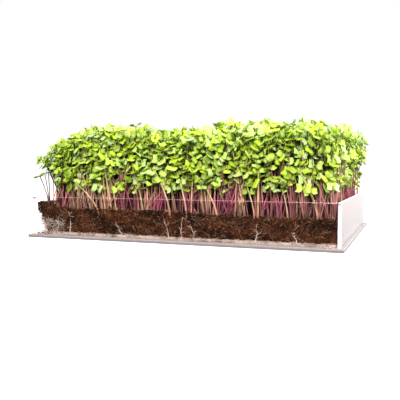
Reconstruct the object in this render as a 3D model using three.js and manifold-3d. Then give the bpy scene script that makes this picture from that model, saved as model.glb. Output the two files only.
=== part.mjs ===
// A tray of microgreens: a low clear tray of sheet acrylic, a mat of roots on its base, a slab of
// coir soil and bunches of sprouts that each end in a pair of heart-shaped seed leaves.
// Millimetres, +Z up. The origin is the centre of the base plate's underside, +X runs along the
// long front wall and +Y runs to the back.

import * as THREE from "three";
import { mergeVertices } from "three/addons/utils/BufferGeometryUtils.js";
import Module from "manifold-3d";

const wasm = await Module();
wasm.setup();

// Tray of sheet acrylic: a base plate with four walls standing on it, a little in from its edge
const WALL_LENGTH = 300;
const WALL_WIDTH = 240;
const WALL_HEIGHT = 37;
const SHEET = 3;
const BASE_OVERHANG = 3;

const INNER_X = WALL_LENGTH / 2 - SHEET;
const INNER_Y = WALL_WIDTH / 2 - SHEET;
const RIM_Z = SHEET + WALL_HEIGHT;

// Root mat under the soil, with loose strands that climb the gap behind the front wall
const MAT_THICKNESS = 2.5;
const MAT_TOP = SHEET + MAT_THICKNESS;
const MAT_LEFT = -140;
const MAT_RIGHT = 146;
const MAT_FRONT = -INNER_Y + 0.3;
const MAT_BACK = 115.5;
const MAT_EDGE_POINTS = 7;
const MAT_EDGE_WAVE = 1.2;
const STRAND_DEPTH = 0.8;
const STRAND_POINTS = 5;
const STRAND_HALF_WIDTH = 0.75;
const STRAND_WANDER = 1.6;
// Where each strand starts along the front wall, and how high it climbs
const STRANDS = [[-123, 16], [-109, 26], [-52, 14], [-3, 22], [9, 24], [21, 18], [79, 20], [114, 17]];

// Soil: a slab with a lumpy top that is higher at its left end, where its foot has crumbled away
const SOIL_TOP = 26.5;
const SOIL_GAP = 1;
const SOIL_FRONT_GAP = 1.5;
const SOIL_CELLS_X = 16;
const SOIL_CELLS_Y = 12;
const SOIL_JITTER = 4.5;
const SOIL_LUMP = 1.3;
const LEFT_RISE = 6;
const LEFT_RISE_LENGTH = 38;
const LEFT_UNDERCUT = 10;
const UNDERCUT_DEPTH = 70;

// Bunches of sprouts: each stands on a root crown in a plain hole in the soil
const BUNCH_COLUMNS = 8;
const BUNCH_ROWS = 6;
const BUNCH_JITTER = 3;
const HOLE_FLOOR = 19;
const HOLE_RADIUS = 8.8;
const HOLE_SIDES = 6;
const CROWN_RADIUS = 8;
const CROWN_HEIGHT = 4;
const LEFT_HOLE_LIMIT = -127;
const FRONT_HOLE_LIMIT = -104.5;

// Sprouts: how many a bunch holds from the front row to the back, and how far their heads spread
const SPROUTS_BY_ROW = [6, 4, 3, 3, 3, 3];
const ROOT_SPREAD = 5.2;
const HEAD_SPREAD = 1.25;
const HEAD_LIMIT_X = 141;
const HEAD_LIMIT_Y = 110;
const STEM_RADIUS = 1.1;
const STEM_STEPS = [0, 0.45];
const STEM_BEND = 1.6;

// Canopy: nearly level, with rounded edges and a low front left corner
const CANOPY_TOP = 108;
const CANOPY_BACK_RISE = 4;
const CANOPY_SWELL = 3;
const CANOPY_SWELL_LENGTH = 33;
const CANOPY_EDGE_FALL = 3;
const CANOPY_EDGE_WIDTH = 25;
const CORNER_FALL = 26;
const CORNER_REACH = 45;
const DEPTH_INSIDE = 30;
const DEPTH_AT_EDGE = 50;
const DEPTH_POWER = 1.4;
const LOWEST_HEAD = 55;
const EDGE_WIDTH = 34;

// Seed leaves, drawn larger than life so that fewer of them still cover the canopy
const LEAF_LENGTH = 17;
const LEAF_HALF_WIDTH = 9.6;
const LEAF_THICKNESS = 0.75;
const HUB_HALF_WIDTH = 1;
const HUB_FRONT = 1.7;
const LEAF_FOLD = 0.38;
const LEAF_CURL = 0.012;
const SIZE_MIN = 0.85;
const SIZE_RANGE = 0.3;
// Half outline of one leaf from stalk to tip, as shares of its length and half width
const LEAF_SIDE = [[0.3, 0.62], [0.64, 1], [1, 0.56]];
const LEAF_NOTCH = 0.85;

// Clearance between sprouts, kept between sample points on their stems and leaves
const CLEARANCE = 4.7;
const STEM_SAMPLE_STEP = 5;
const STEM_SAMPLE_START = 42;
const LEAF_SAMPLES = [
  [0.15, 0], [0.4, 0], [0.63, 0], [0.85, 0], [0.32, 0.4], [0.32, -0.4], [0.6, 0.5], [0.6, -0.5],
  [0.6, 0.96], [0.6, -0.96], [0.82, 0.75], [0.82, -0.75], [0.97, 0.4], [0.97, -0.4],
];
const MAX_TRIES = 90;

const SOIL_SEED = 11;
const MAT_SEED = 5;
const SPROUT_SEED = 52;

const clear = new THREE.MeshStandardMaterial({
  color: 0xf5eeec, roughness: 0.05, metalness: 0, transparent: true, opacity: 0.3,
});
const earth = new THREE.MeshStandardMaterial({
  color: 0x4a2c1f, roughness: 0.95, metalness: 0, flatShading: true,
});
const rootBeige = new THREE.MeshStandardMaterial({
  color: 0xcdb694, roughness: 0.9, metalness: 0, flatShading: true,
});
const leafGreen = new THREE.MeshStandardMaterial({
  color: 0xa6c83a, roughness: 0.55, metalness: 0, flatShading: true,
});

// A repeatable stream of numbers from 0 up to 1
function seededRandom(seed) {
  let state = seed;
  return () => {
    state = (state + 0x6d2b79f5) | 0;
    let mixed = Math.imul(state ^ (state >>> 15), 1 | state);
    mixed = (mixed + Math.imul(mixed ^ (mixed >>> 7), 61 | mixed)) ^ mixed;
    return ((mixed ^ (mixed >>> 14)) >>> 0) / 4294967296;
  };
}

// Rises smoothly from 0 to 1 while the share runs from 0 to 1
function smooth(share) {
  const s = Math.min(Math.max(share, 0), 1);
  return s * s * (3 - 2 * s);
}

function clamp(value, low, high) {
  return Math.min(Math.max(value, low), high);
}

function centred(random, range) {
  return (random() - 0.5) * 2 * range;
}

function meshFrom(positions, triangles) {
  const geometry = new THREE.BufferGeometry();
  geometry.setAttribute("position", new THREE.Float32BufferAttribute(positions, 3));
  geometry.setIndex(triangles);
  return geometry;
}

function toSolid(geometry) {
  const bare = geometry.clone();
  bare.deleteAttribute("normal");
  bare.deleteAttribute("uv");
  const merged = mergeVertices(bare);
  return new wasm.Manifold(new wasm.Mesh({
    numProp: 3,
    vertProperties: Float32Array.from(merged.attributes.position.array),
    triVerts: Uint32Array.from(merged.index.array),
  }));
}

function toGeometry(solid) {
  const mesh = solid.getMesh();
  return meshFrom(mesh.vertProperties, Array.from(mesh.triVerts));
}

// Joins solids that overlap into one
function joined(geometries) {
  const solids = geometries.map(toSolid);
  return toGeometry(solids.reduce((whole, solid) => whole.add(solid)));
}

function named(name, geometry, material) {
  const mesh = new THREE.Mesh(geometry, material);
  mesh.name = name;
  return mesh;
}

// A flat sheet of acrylic between two opposite corners
function sheet(name, low, high) {
  const size = high.map((value, axis) => value - low[axis]);
  const mesh = named(name, new THREE.BoxGeometry(...size), clear);
  mesh.position.set(...high.map((value, axis) => (value + low[axis]) / 2));
  return mesh;
}

function makeTray() {
  const x = WALL_LENGTH / 2;
  const y = WALL_WIDTH / 2;
  const edge = BASE_OVERHANG;
  return [
    sheet("base_plate", [-x - edge, -y - edge, 0], [x + edge, y + edge, SHEET]),
    sheet("front_wall", [-x, -y, SHEET], [x, -INNER_Y, RIM_Z]),
    sheet("back_wall", [-x, INNER_Y, SHEET], [x, y, RIM_Z]),
    sheet("left_wall", [-x, -INNER_Y, SHEET], [-INNER_X, INNER_Y, RIM_Z]),
    sheet("right_wall", [INNER_X, -INNER_Y, SHEET], [x, INNER_Y, RIM_Z]),
  ];
}

// Points along one edge of the mat, from one corner up to the next, waved inward
function matEdge(from, to, inward, random) {
  const points = [];
  for (let i = 0; i < MAT_EDGE_POINTS; i += 1) {
    const share = i / MAT_EDGE_POINTS;
    const wave = i === 0 ? 0 : random() * MAT_EDGE_WAVE;
    points.push(new THREE.Vector2(
      from[0] + (to[0] - from[0]) * share + inward[0] * wave,
      from[1] + (to[1] - from[1]) * share + inward[1] * wave,
    ));
  }
  return points;
}

// The front edge is straight because it lies along the wall
function makeMatSlab(random) {
  const outline = new THREE.Shape([
    new THREE.Vector2(MAT_LEFT, MAT_FRONT),
    ...matEdge([MAT_RIGHT, MAT_FRONT], [MAT_RIGHT, MAT_BACK], [-1, 0], random),
    ...matEdge([MAT_RIGHT, MAT_BACK], [MAT_LEFT, MAT_BACK], [0, -1], random),
    ...matEdge([MAT_LEFT, MAT_BACK], [MAT_LEFT, MAT_FRONT], [1, 0], random),
  ]);
  const slab = new THREE.ExtrudeGeometry(outline, { depth: MAT_THICKNESS, bevelEnabled: false });
  return slab.translate(0, 0, SHEET);
}

// A strand is a thin ribbon that wanders up behind the front wall
function makeStrand([startX, height], random) {
  const left = [];
  const right = [];
  const foot = SHEET + MAT_THICKNESS / 2;
  let x = startX;
  for (let i = 0; i < STRAND_POINTS; i += 1) {
    const share = i / (STRAND_POINTS - 1);
    const z = foot + (height - foot) * share;
    const halfWidth = STRAND_HALF_WIDTH * (1 - 0.4 * share);
    left.unshift(new THREE.Vector2(x - halfWidth, z));
    right.push(new THREE.Vector2(x + halfWidth, z));
    x += centred(random, STRAND_WANDER);
  }
  const ribbon = new THREE.ExtrudeGeometry(new THREE.Shape([...right, ...left]), {
    depth: STRAND_DEPTH, bevelEnabled: false,
  });
  ribbon.rotateX(Math.PI / 2);
  return ribbon.translate(0, MAT_FRONT + STRAND_DEPTH, 0);
}

function makeRootMat() {
  const random = seededRandom(MAT_SEED);
  const slab = makeMatSlab(random);
  const strands = STRANDS.map((strand) => makeStrand(strand, random));
  return named("root_mat", joined([slab, ...strands]), rootBeige);
}

function soilTopAt(x) {
  return SOIL_TOP + LEFT_RISE * (1 - smooth((x + INNER_X) / LEFT_RISE_LENGTH));
}

// One point of the soil's lumpy top; edge points stay on their edge
function soilTopPoint(column, row, random) {
  const left = -INNER_X + SOIL_GAP;
  const right = INNER_X - SOIL_GAP;
  const front = -INNER_Y + SOIL_FRONT_GAP;
  const back = INNER_Y - SOIL_GAP;
  const insideX = column > 0 && column < SOIL_CELLS_X;
  const insideY = row > 0 && row < SOIL_CELLS_Y;
  const shiftX = centred(random, SOIL_JITTER);
  const shiftY = centred(random, SOIL_JITTER);
  const lump = centred(random, SOIL_LUMP);
  const x = left + (right - left) * column / SOIL_CELLS_X + (insideX ? shiftX : 0);
  const y = front + (back - front) * row / SOIL_CELLS_Y + (insideY ? shiftY : 0);
  return [x, y, soilTopAt(x) + lump];
}

// The foot of the soil's side under an edge point; the left end is worn back, most at the front
function soilFootPoint([x, y]) {
  const onLeft = x < -INNER_X + SOIL_GAP + 0.01;
  const wear = 1 - 0.7 * smooth((y + INNER_Y) / UNDERCUT_DEPTH);
  return [onLeft ? x + LEFT_UNDERCUT * wear : x, y, MAT_TOP];
}

// Indexes of the grid's edge points, counter-clockwise from the front left corner
function gridRim(columns, rows) {
  const at = (column, row) => row * (columns + 1) + column;
  const rim = [];
  for (let c = 0; c < columns; c += 1) rim.push(at(c, 0));
  for (let r = 0; r < rows; r += 1) rim.push(at(columns, r));
  for (let c = columns; c > 0; c -= 1) rim.push(at(c, rows));
  for (let r = rows; r > 0; r -= 1) rim.push(at(0, r));
  return rim;
}

function gridTriangles(columns, rows) {
  const triangles = [];
  for (let r = 0; r < rows; r += 1) {
    for (let c = 0; c < columns; c += 1) {
      const a = r * (columns + 1) + c;
      const d = a + columns + 1;
      triangles.push(a, a + 1, d + 1, a, d + 1, d);
    }
  }
  return triangles;
}

function makeSoilSlab() {
  const random = seededRandom(SOIL_SEED);
  const points = [];
  for (let r = 0; r <= SOIL_CELLS_Y; r += 1) {
    for (let c = 0; c <= SOIL_CELLS_X; c += 1) {
      points.push(soilTopPoint(c, r, random));
    }
  }
  const rim = gridRim(SOIL_CELLS_X, SOIL_CELLS_Y);
  const footStart = points.length;
  const feet = rim.map((index) => soilFootPoint(points[index]));
  points.push(...feet);
  const triangles = gridTriangles(SOIL_CELLS_X, SOIL_CELLS_Y);
  rim.forEach((top, i) => {
    const next = (i + 1) % rim.length;
    const foot = footStart + i;
    const nextFoot = footStart + next;
    triangles.push(foot, nextFoot, rim[next], foot, rim[next], top);
  });
  const outline = feet.map(([x, y]) => new THREE.Vector2(x, y));
  THREE.ShapeUtils.triangulateShape(outline, []).forEach(([a, b, c]) => {
    triangles.push(footStart + c, footStart + b, footStart + a);
  });
  return meshFrom(points.flat(), triangles);
}

// An upright prism that stands on the given height
function uprightPrism(radius, height, sides, [x, y], floor) {
  const prism = new THREE.CylinderGeometry(radius, radius, height, sides);
  prism.rotateX(Math.PI / 2);
  return prism.translate(x, y, floor + height / 2);
}

function makeSoil(crowns) {
  const depth = RIM_Z - HOLE_FLOOR;
  const holes = crowns.map((crown) => uprightPrism(HOLE_RADIUS, depth, HOLE_SIDES, crown, HOLE_FLOOR));
  const slab = toSolid(makeSoilSlab());
  const holed = holes.reduce((rest, hole) => rest.subtract(toSolid(hole)), slab);
  return named("soil", toGeometry(holed), earth);
}

function cellSize() {
  return [2 * INNER_X / BUNCH_COLUMNS, 2 * INNER_Y / BUNCH_ROWS];
}

// Centre of each bunch's crown, row by row from the front
function placeCrowns(random) {
  const [sizeX, sizeY] = cellSize();
  const crowns = [];
  for (let row = 0; row < BUNCH_ROWS; row += 1) {
    for (let column = 0; column < BUNCH_COLUMNS; column += 1) {
      const x = -INNER_X + (column + 0.5) * sizeX + centred(random, BUNCH_JITTER);
      const y = -INNER_Y + (row + 0.5) * sizeY + centred(random, BUNCH_JITTER);
      const frontY = row === 0 ? FRONT_HOLE_LIMIT : y;
      crowns.push([Math.max(x, LEFT_HOLE_LIMIT), frontY]);
    }
  }
  return crowns;
}

function edgeDistance(x, y) {
  return Math.min(INNER_X - Math.abs(x), INNER_Y - Math.abs(y));
}

// 1 at the canopy's edge, 0 well inside it
function edgeShare(x, y) {
  return 1 - smooth(edgeDistance(x, y) / EDGE_WIDTH);
}

function canopyTopAt(x, y) {
  const corner = Math.hypot(x + INNER_X, 0.7 * (y + INNER_Y));
  const edge = 1 - smooth(edgeDistance(x, y) / CANOPY_EDGE_WIDTH);
  return CANOPY_TOP
    + CANOPY_BACK_RISE * y / INNER_Y
    + CANOPY_SWELL * Math.sin(x / CANOPY_SWELL_LENGTH + y / (2 * CANOPY_SWELL_LENGTH))
    - CANOPY_EDGE_FALL * edge
    - CORNER_FALL * (1 - smooth(corner / CORNER_REACH));
}

// Where a sprout's head is: over its own cell or a little past it, and some way below the canopy
function drawHead(bunch, random) {
  const [sizeX, sizeY] = cellSize();
  const middleX = -INNER_X + (bunch % BUNCH_COLUMNS + 0.5) * sizeX;
  const middleY = -INNER_Y + (Math.floor(bunch / BUNCH_COLUMNS) + 0.5) * sizeY;
  const x = clamp(middleX + centred(random, HEAD_SPREAD * sizeX / 2), -HEAD_LIMIT_X, HEAD_LIMIT_X);
  const y = clamp(middleY + centred(random, HEAD_SPREAD * sizeY / 2), -HEAD_LIMIT_Y, HEAD_LIMIT_Y);
  const top = canopyTopAt(x, y);
  const depth = DEPTH_INSIDE + (DEPTH_AT_EDGE - DEPTH_INSIDE) * edgeShare(x, y);
  const low = Math.max(top - depth, LOWEST_HEAD);
  return new THREE.Vector3(x, y, top - (top - low) * random() ** DEPTH_POWER);
}

// The way a leaf pair faces: up, along its stem, a little at random, and outward at the edge
function drawFacing(root, head, random) {
  const stem = head.clone().sub(root).normalize();
  const outward = new THREE.Vector3(
    smooth(Math.abs(head.x) / INNER_X * 3 - 2) * Math.sign(head.x),
    smooth(Math.abs(head.y) / INNER_Y * 3 - 2) * Math.sign(head.y),
    0,
  );
  const tilt = new THREE.Vector3(centred(random, 0.4), centred(random, 0.4), 0);
  return new THREE.Vector3(0, 0, 0.9).add(stem).addScaledVector(outward, 0.85).add(tilt).normalize();
}

// One sprout: its root and head, and a frame for its leaf pair (along, across and facing)
function drawSprout(bunch, crown, random) {
  const angle = 2 * Math.PI * random();
  const reach = ROOT_SPREAD * Math.sqrt(random());
  const root = new THREE.Vector3(
    crown[0] + reach * Math.cos(angle),
    crown[1] + reach * Math.sin(angle),
    HOLE_FLOOR + CROWN_HEIGHT / 2,
  );
  const head = drawHead(bunch, random);
  const facing = drawFacing(root, head, random);
  const turn = 2 * Math.PI * random();
  const along = new THREE.Vector3(Math.cos(turn), Math.sin(turn), 0);
  along.addScaledVector(facing, -along.dot(facing)).normalize();
  const across = new THREE.Vector3().crossVectors(facing, along);
  const size = SIZE_MIN + SIZE_RANGE * random();
  const lift = 0.05 + 0.35 * random();
  return { bunch, root, head, facing, along, across, size, lift };
}

// A point on the stem's middle line: it leaves the soil upright and leans more the higher it gets
function stemPoint({ root, head }, share) {
  const lean = share ** STEM_BEND;
  return new THREE.Vector3(
    root.x + (head.x - root.x) * lean,
    root.y + (head.y - root.y) * lean,
    root.z + (head.z - root.z) * share,
  );
}

// A point on a leaf's top face, u along the leaf and v across it; side is 1 or -1
function leafPoint({ head, facing, along, across, size, lift }, side, u, v) {
  const length = u * size;
  const width = v * size;
  const raised = length * Math.sin(lift) + LEAF_FOLD * Math.abs(width) - LEAF_CURL * length * length;
  return head.clone()
    .addScaledVector(along, side * length * Math.cos(lift))
    .addScaledVector(across, width)
    .addScaledVector(facing, raised);
}

function sproutSamples(sprout) {
  const samples = [];
  const { root, head, bunch } = sprout;
  const height = head.z - root.z;
  for (let z = STEM_SAMPLE_START; z < head.z; z += STEM_SAMPLE_STEP) {
    samples.push({ point: stemPoint(sprout, (z - root.z) / height), bunch, onStem: true });
  }
  for (const side of [1, -1]) {
    for (const [u, v] of LEAF_SAMPLES) {
      const point = leafPoint(sprout, side, u * LEAF_LENGTH, v * LEAF_HALF_WIDTH);
      samples.push({ point, bunch, onStem: false });
    }
  }
  return samples;
}

// Sample points already taken, filed by the cube of space that they lie in
class TakenSpace {
  constructor() {
    this.cubes = new Map();
  }

  cube(x, y, z) {
    return `${x},${y},${z}`;
  }

  add(sample) {
    const { x, y, z } = sample.point;
    const key = this.cube(...[x, y, z].map((value) => Math.floor(value / CLEARANCE)));
    if (!this.cubes.has(key)) this.cubes.set(key, []);
    this.cubes.get(key).push(sample);
  }

  near({ x, y, z }) {
    const [cx, cy, cz] = [x, y, z].map((value) => Math.floor(value / CLEARANCE));
    const found = [];
    for (let i = cx - 1; i <= cx + 1; i += 1) {
      for (let j = cy - 1; j <= cy + 1; j += 1) {
        for (let k = cz - 1; k <= cz + 1; k += 1) {
          found.push(...(this.cubes.get(this.cube(i, j, k)) ?? []));
        }
      }
    }
    return found;
  }

  // Stems of one bunch may touch, because they grow together
  blocks(sample) {
    return this.near(sample.point).some((other) => {
      const together = sample.onStem && other.onStem && sample.bunch === other.bunch;
      return !together && other.point.distanceTo(sample.point) < CLEARANCE;
    });
  }
}

// Every bunch grows its first sprout, then every bunch its second, each where there is room
function growBunches(crowns, random) {
  const taken = new TakenSpace();
  const bunches = crowns.map(() => []);
  for (let turn = 0; turn < Math.max(...SPROUTS_BY_ROW); turn += 1) {
    for (let bunch = 0; bunch < crowns.length; bunch += 1) {
      if (turn >= SPROUTS_BY_ROW[Math.floor(bunch / BUNCH_COLUMNS)]) continue;
      for (let attempt = 0; attempt < MAX_TRIES; attempt += 1) {
        const sprout = drawSprout(bunch, crowns[bunch], random);
        const samples = sproutSamples(sprout);
        if (samples.some((sample) => taken.blocks(sample))) continue;
        samples.forEach((sample) => taken.add(sample));
        bunches[bunch].push(sprout);
        break;
      }
    }
  }
  return bunches;
}

// Outline of one leaf from the stalk's right side round the tip to its left side
function leafOutline(side) {
  const [right, left] = [-1, 1];
  const edge = (sign) => LEAF_SIDE.map(([u, v]) => [u * LEAF_LENGTH, sign * v * LEAF_HALF_WIDTH]);
  const notch = [[LEAF_NOTCH * LEAF_LENGTH, 0]];
  return side === 1
    ? [...edge(right), ...notch, ...edge(left).reverse()]
    : [...edge(left), ...notch, ...edge(right).reverse()];
}

// Point numbers of a leaf pair: three hub points, then the first leaf's outline, then the other's
const HUB_TIP = 0;
const HUB_LEFT = 1;
const HUB_RIGHT = 2;
const HUB_POINTS = 3;
const OUTLINE_POINTS = 2 * LEAF_SIDE.length + 1;

// Triangles of the pair's top face, counter-clockwise from above
function pairTriangles() {
  const triangles = [];
  const first = HUB_POINTS;
  const second = first + OUTLINE_POINTS;
  const last = OUTLINE_POINTS - 1;
  triangles.push([HUB_TIP, HUB_RIGHT, first]);
  for (let i = 0; i < last; i += 1) triangles.push([HUB_TIP, first + i, first + i + 1]);
  triangles.push([HUB_TIP, first + last, HUB_LEFT]);
  const notch = LEAF_SIDE.length;
  for (let i = 0; i < notch; i += 1) triangles.push([HUB_LEFT, second + i, second + i + 1]);
  triangles.push([HUB_LEFT, second + notch, HUB_RIGHT]);
  for (let i = notch; i < last; i += 1) triangles.push([HUB_RIGHT, second + i, second + i + 1]);
  return triangles;
}

// The pair's edge as one loop, counter-clockwise from above
function pairLoop() {
  const loop = [HUB_RIGHT];
  for (let i = 0; i < OUTLINE_POINTS; i += 1) loop.push(HUB_POINTS + i);
  loop.push(HUB_LEFT);
  for (let i = 0; i < OUTLINE_POINTS; i += 1) loop.push(HUB_POINTS + OUTLINE_POINTS + i);
  return loop;
}

const PAIR_TRIANGLES = pairTriangles();
const PAIR_LOOP = pairLoop();

// Top points and matching bottom points of a leaf pair
function pairPoints(sprout) {
  const { facing, along, lift } = sprout;
  const hub = [[HUB_FRONT, 0], [0, HUB_HALF_WIDTH], [0, -HUB_HALF_WIDTH]];
  const top = hub.map(([u, v]) => leafPoint(sprout, 1, u, v));
  const bottom = top.map((point) => point.clone().addScaledVector(facing, -LEAF_THICKNESS));
  for (const side of [1, -1]) {
    const under = facing.clone().multiplyScalar(-Math.cos(lift));
    under.addScaledVector(along, side * Math.sin(lift));
    for (const [u, v] of leafOutline(side)) {
      const point = leafPoint(sprout, side, u, v);
      top.push(point);
      bottom.push(point.clone().addScaledVector(under, LEAF_THICKNESS));
    }
  }
  return { top, bottom };
}

// Level three-sided rings up the stem, turned to meet the three hub points under the leaf pair
function stemRings(sprout) {
  const turn = Math.atan2(sprout.along.y, sprout.along.x);
  return STEM_STEPS.flatMap((share) => {
    const middle = stemPoint(sprout, share);
    return [0, 1, 2].map((corner) => {
      const angle = turn + corner * 2 * Math.PI / 3;
      return middle.clone().add(
        new THREE.Vector3(STEM_RADIUS * Math.cos(angle), STEM_RADIUS * Math.sin(angle), 0),
      );
    });
  });
}

// One closed sprout: the stem's last ring is the hub on the underside of the leaf pair
function sproutGeometry(sprout) {
  const rings = stemRings(sprout);
  const { top, bottom } = pairPoints(sprout);
  const under = rings.length;
  const upper = under + bottom.length;
  const triangles = [2, 1, 0];
  for (let ring = 0; ring < STEM_STEPS.length; ring += 1) {
    for (let corner = 0; corner < 3; corner += 1) {
      const a = 3 * ring + corner;
      const b = 3 * ring + (corner + 1) % 3;
      triangles.push(a, b, b + 3, a, b + 3, a + 3);
    }
  }
  for (const [a, b, c] of PAIR_TRIANGLES) {
    triangles.push(upper + a, upper + b, upper + c, under + c, under + b, under + a);
  }
  triangles.push(upper + HUB_TIP, upper + HUB_LEFT, upper + HUB_RIGHT);
  PAIR_LOOP.forEach((a, i) => {
    const b = PAIR_LOOP[(i + 1) % PAIR_LOOP.length];
    triangles.push(under + a, under + b, upper + b, under + a, upper + b, upper + a);
  });
  const points = [...rings, ...bottom, ...top];
  return meshFrom(points.flatMap((point) => point.toArray()), triangles);
}

function makeBunch(sprouts, crown, index) {
  const base = uprightPrism(CROWN_RADIUS, CROWN_HEIGHT, HOLE_SIDES, crown, HOLE_FLOOR);
  const row = Math.floor(index / BUNCH_COLUMNS) + 1;
  const column = index % BUNCH_COLUMNS + 1;
  return named(`sprouts_${row}_${column}`, joined([base, ...sprouts.map(sproutGeometry)]), leafGreen);
}

function makePart() {
  const random = seededRandom(SPROUT_SEED);
  const crowns = placeCrowns(random);
  const bunches = growBunches(crowns, random);
  const part = new THREE.Group();
  part.add(...makeTray(), makeRootMat(), makeSoil(crowns));
  part.add(...bunches.map((sprouts, index) => makeBunch(sprouts, crowns[index], index)));
  return part;
}

export default makePart();
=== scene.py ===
"""Dresses a tray of microgreens: clear acrylic sheets, coir soil, roots and a few thousand sprouts."""

import math
from dataclasses import dataclass, replace

import bmesh
import bpy
from bpy.props import FloatProperty, FloatVectorProperty, IntProperty, PointerProperty
from mathutils import Euler, Matrix, Vector, noise


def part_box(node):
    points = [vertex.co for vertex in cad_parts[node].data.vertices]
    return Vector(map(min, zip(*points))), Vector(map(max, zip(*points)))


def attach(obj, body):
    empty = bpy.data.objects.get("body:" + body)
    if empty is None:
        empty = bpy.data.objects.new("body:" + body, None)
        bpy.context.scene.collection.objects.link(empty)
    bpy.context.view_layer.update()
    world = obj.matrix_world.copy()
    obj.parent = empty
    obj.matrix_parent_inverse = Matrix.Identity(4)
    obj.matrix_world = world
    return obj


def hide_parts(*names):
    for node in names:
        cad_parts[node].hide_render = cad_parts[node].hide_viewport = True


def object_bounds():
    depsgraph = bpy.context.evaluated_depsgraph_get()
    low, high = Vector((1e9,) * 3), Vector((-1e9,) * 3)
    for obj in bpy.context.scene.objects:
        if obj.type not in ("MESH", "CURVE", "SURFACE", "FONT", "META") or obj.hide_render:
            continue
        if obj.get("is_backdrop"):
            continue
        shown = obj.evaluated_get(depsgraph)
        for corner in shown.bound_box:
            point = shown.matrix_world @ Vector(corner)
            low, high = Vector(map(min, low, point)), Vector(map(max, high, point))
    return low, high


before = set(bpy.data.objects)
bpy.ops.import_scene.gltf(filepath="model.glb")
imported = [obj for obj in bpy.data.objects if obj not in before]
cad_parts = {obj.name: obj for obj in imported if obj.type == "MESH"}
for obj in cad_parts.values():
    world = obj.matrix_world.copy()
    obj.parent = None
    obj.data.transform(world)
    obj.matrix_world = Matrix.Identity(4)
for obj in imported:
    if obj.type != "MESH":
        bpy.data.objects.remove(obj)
CAD_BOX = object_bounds()

bl_info = {
    "name": "Microgreens Tray",
    "version": (1, 0, 0),
    "blender": (4, 5, 0),
    "location": "View3D > Sidebar > Microgreens",
    "description": "Builds a clear tray of microgreens with its soil, roots and sprouts",
    "category": "Add Mesh",
}

BODY = "root"
TRAY_SHEETS = ("base_plate", "front_wall", "back_wall", "left_wall", "right_wall")

# Tray, in metres: the inner faces of its walls, its sheets, its rim and the top of its root mat; and the
# share of light that the wear of its clear and its wiped sheets scatters at most
INNER_X = 0.147
INNER_Y = 0.117
SHEET = 0.003
RIM_Z = 0.040
MAT_TOP = 0.0055
SHEET_GAP = 0.00003
CLEAR_WEAR = 0.004
WIPED_WEAR = 0.25

# Soil: the solid's slab, higher at its left end, where its foot has crumbled away
SOIL_TOP = 0.0265
SOIL_GAP = 0.001
SOIL_FRONT_GAP = 0.0015
LEFT_RISE = 0.006
LEFT_RISE_LENGTH = 0.038
LEFT_UNDERCUT = 0.010
UNDERCUT_DEPTH = 0.070
SOIL_FRONT = -INNER_Y + SOIL_FRONT_GAP
SOIL_LEFT = -INNER_X + SOIL_GAP
SOIL_RIGHT = INNER_X - SOIL_GAP
SOIL_BACK = INNER_Y - SOIL_GAP

# What the scene adds to the slab: a swell along its left half, a rough skin and a finer mesh
SOIL_SWELL = 0.0025
SWELL_FROM = -0.02
SWELL_LENGTH = 0.07
WORN_REACH = 0.05
ON_EDGE = 0.0005
SLAB_COLUMNS = 200
SLAB_ROWS = 90
SLAB_LAYERS = 11

# Loose soil: a draw below each pick lands on that side of the slab, and above the last one on its top
FRONT_PICK = 0.56
LEFT_PICK = 0.68
RIGHT_PICK = 0.76
BACK_PICK = 0.84
FIBRE_RADII = (0.00012, 0.00032)
FIBRE_TAPER = 0.3
FIBRE_GAP = 0.0004
CRUMB_SHAPE = ((0.8, 1.5), (0.6, 1.0), (0.7, 1.2))
CORNER_CRUMBS = 240
CORNER_CRUMB_SIZES = (0.0005, 0.0011)
BASE_CRUMBS = 90
BASE_CRUMB_SIZES = (0.0004, 0.0011)
LITTER_SEED = 4107

# Skewed sizes: the least, how much is added at most, and the power that favours small ones
FIBRE_LENGTHS = (0.0025, 0.0095, 2)
CRUMB_SIZES = (0.0004, 0.0009, 2)
FRINGE_LENGTHS = (0.0015, 0.006, 2)

# Roots behind the front wall: where each strand starts, how high it climbs, and how far it leans
STRANDS = (
    (-0.123, 0.016, 0.001), (-0.109, 0.026, 0.000), (-0.052, 0.014, -0.002), (-0.003, 0.022, -0.004),
    (0.009, 0.024, 0.001), (0.021, 0.018, -0.002), (0.079, 0.020, 0.000), (0.114, 0.017, -0.003),
)
ROOT_Y = -INNER_Y + 0.0007
STRAND_STEPS = 8
STRAND_RADIUS = 0.00046
BRANCH_RADIUS = 0.00027
BRANCH_SHARE = 0.65
FINE_ROOT_RADII = (0.00014, 0.00028)
FINE_ROOT_GAP = 0.0003
FRINGE_SPAN = (-0.139, 0.145)
ROOT_SEED = 905

# Web of fine roots at the worn corner: its left end, its length, its heights and its end at the back
WEB_LEFT = -0.142
WEB_LENGTH = 0.027
WEB_FRONT_HEIGHT = 0.013
WEB_SIDE_HEIGHT = 0.012
WEB_BACK = 0.05

# Felt of roots under the soil
FELT_LEFT = -0.140
FELT_RIGHT = 0.146
FELT_COLUMNS = 150
FELT_ROWS = 40
FELT_LAYERS = 3

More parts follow.
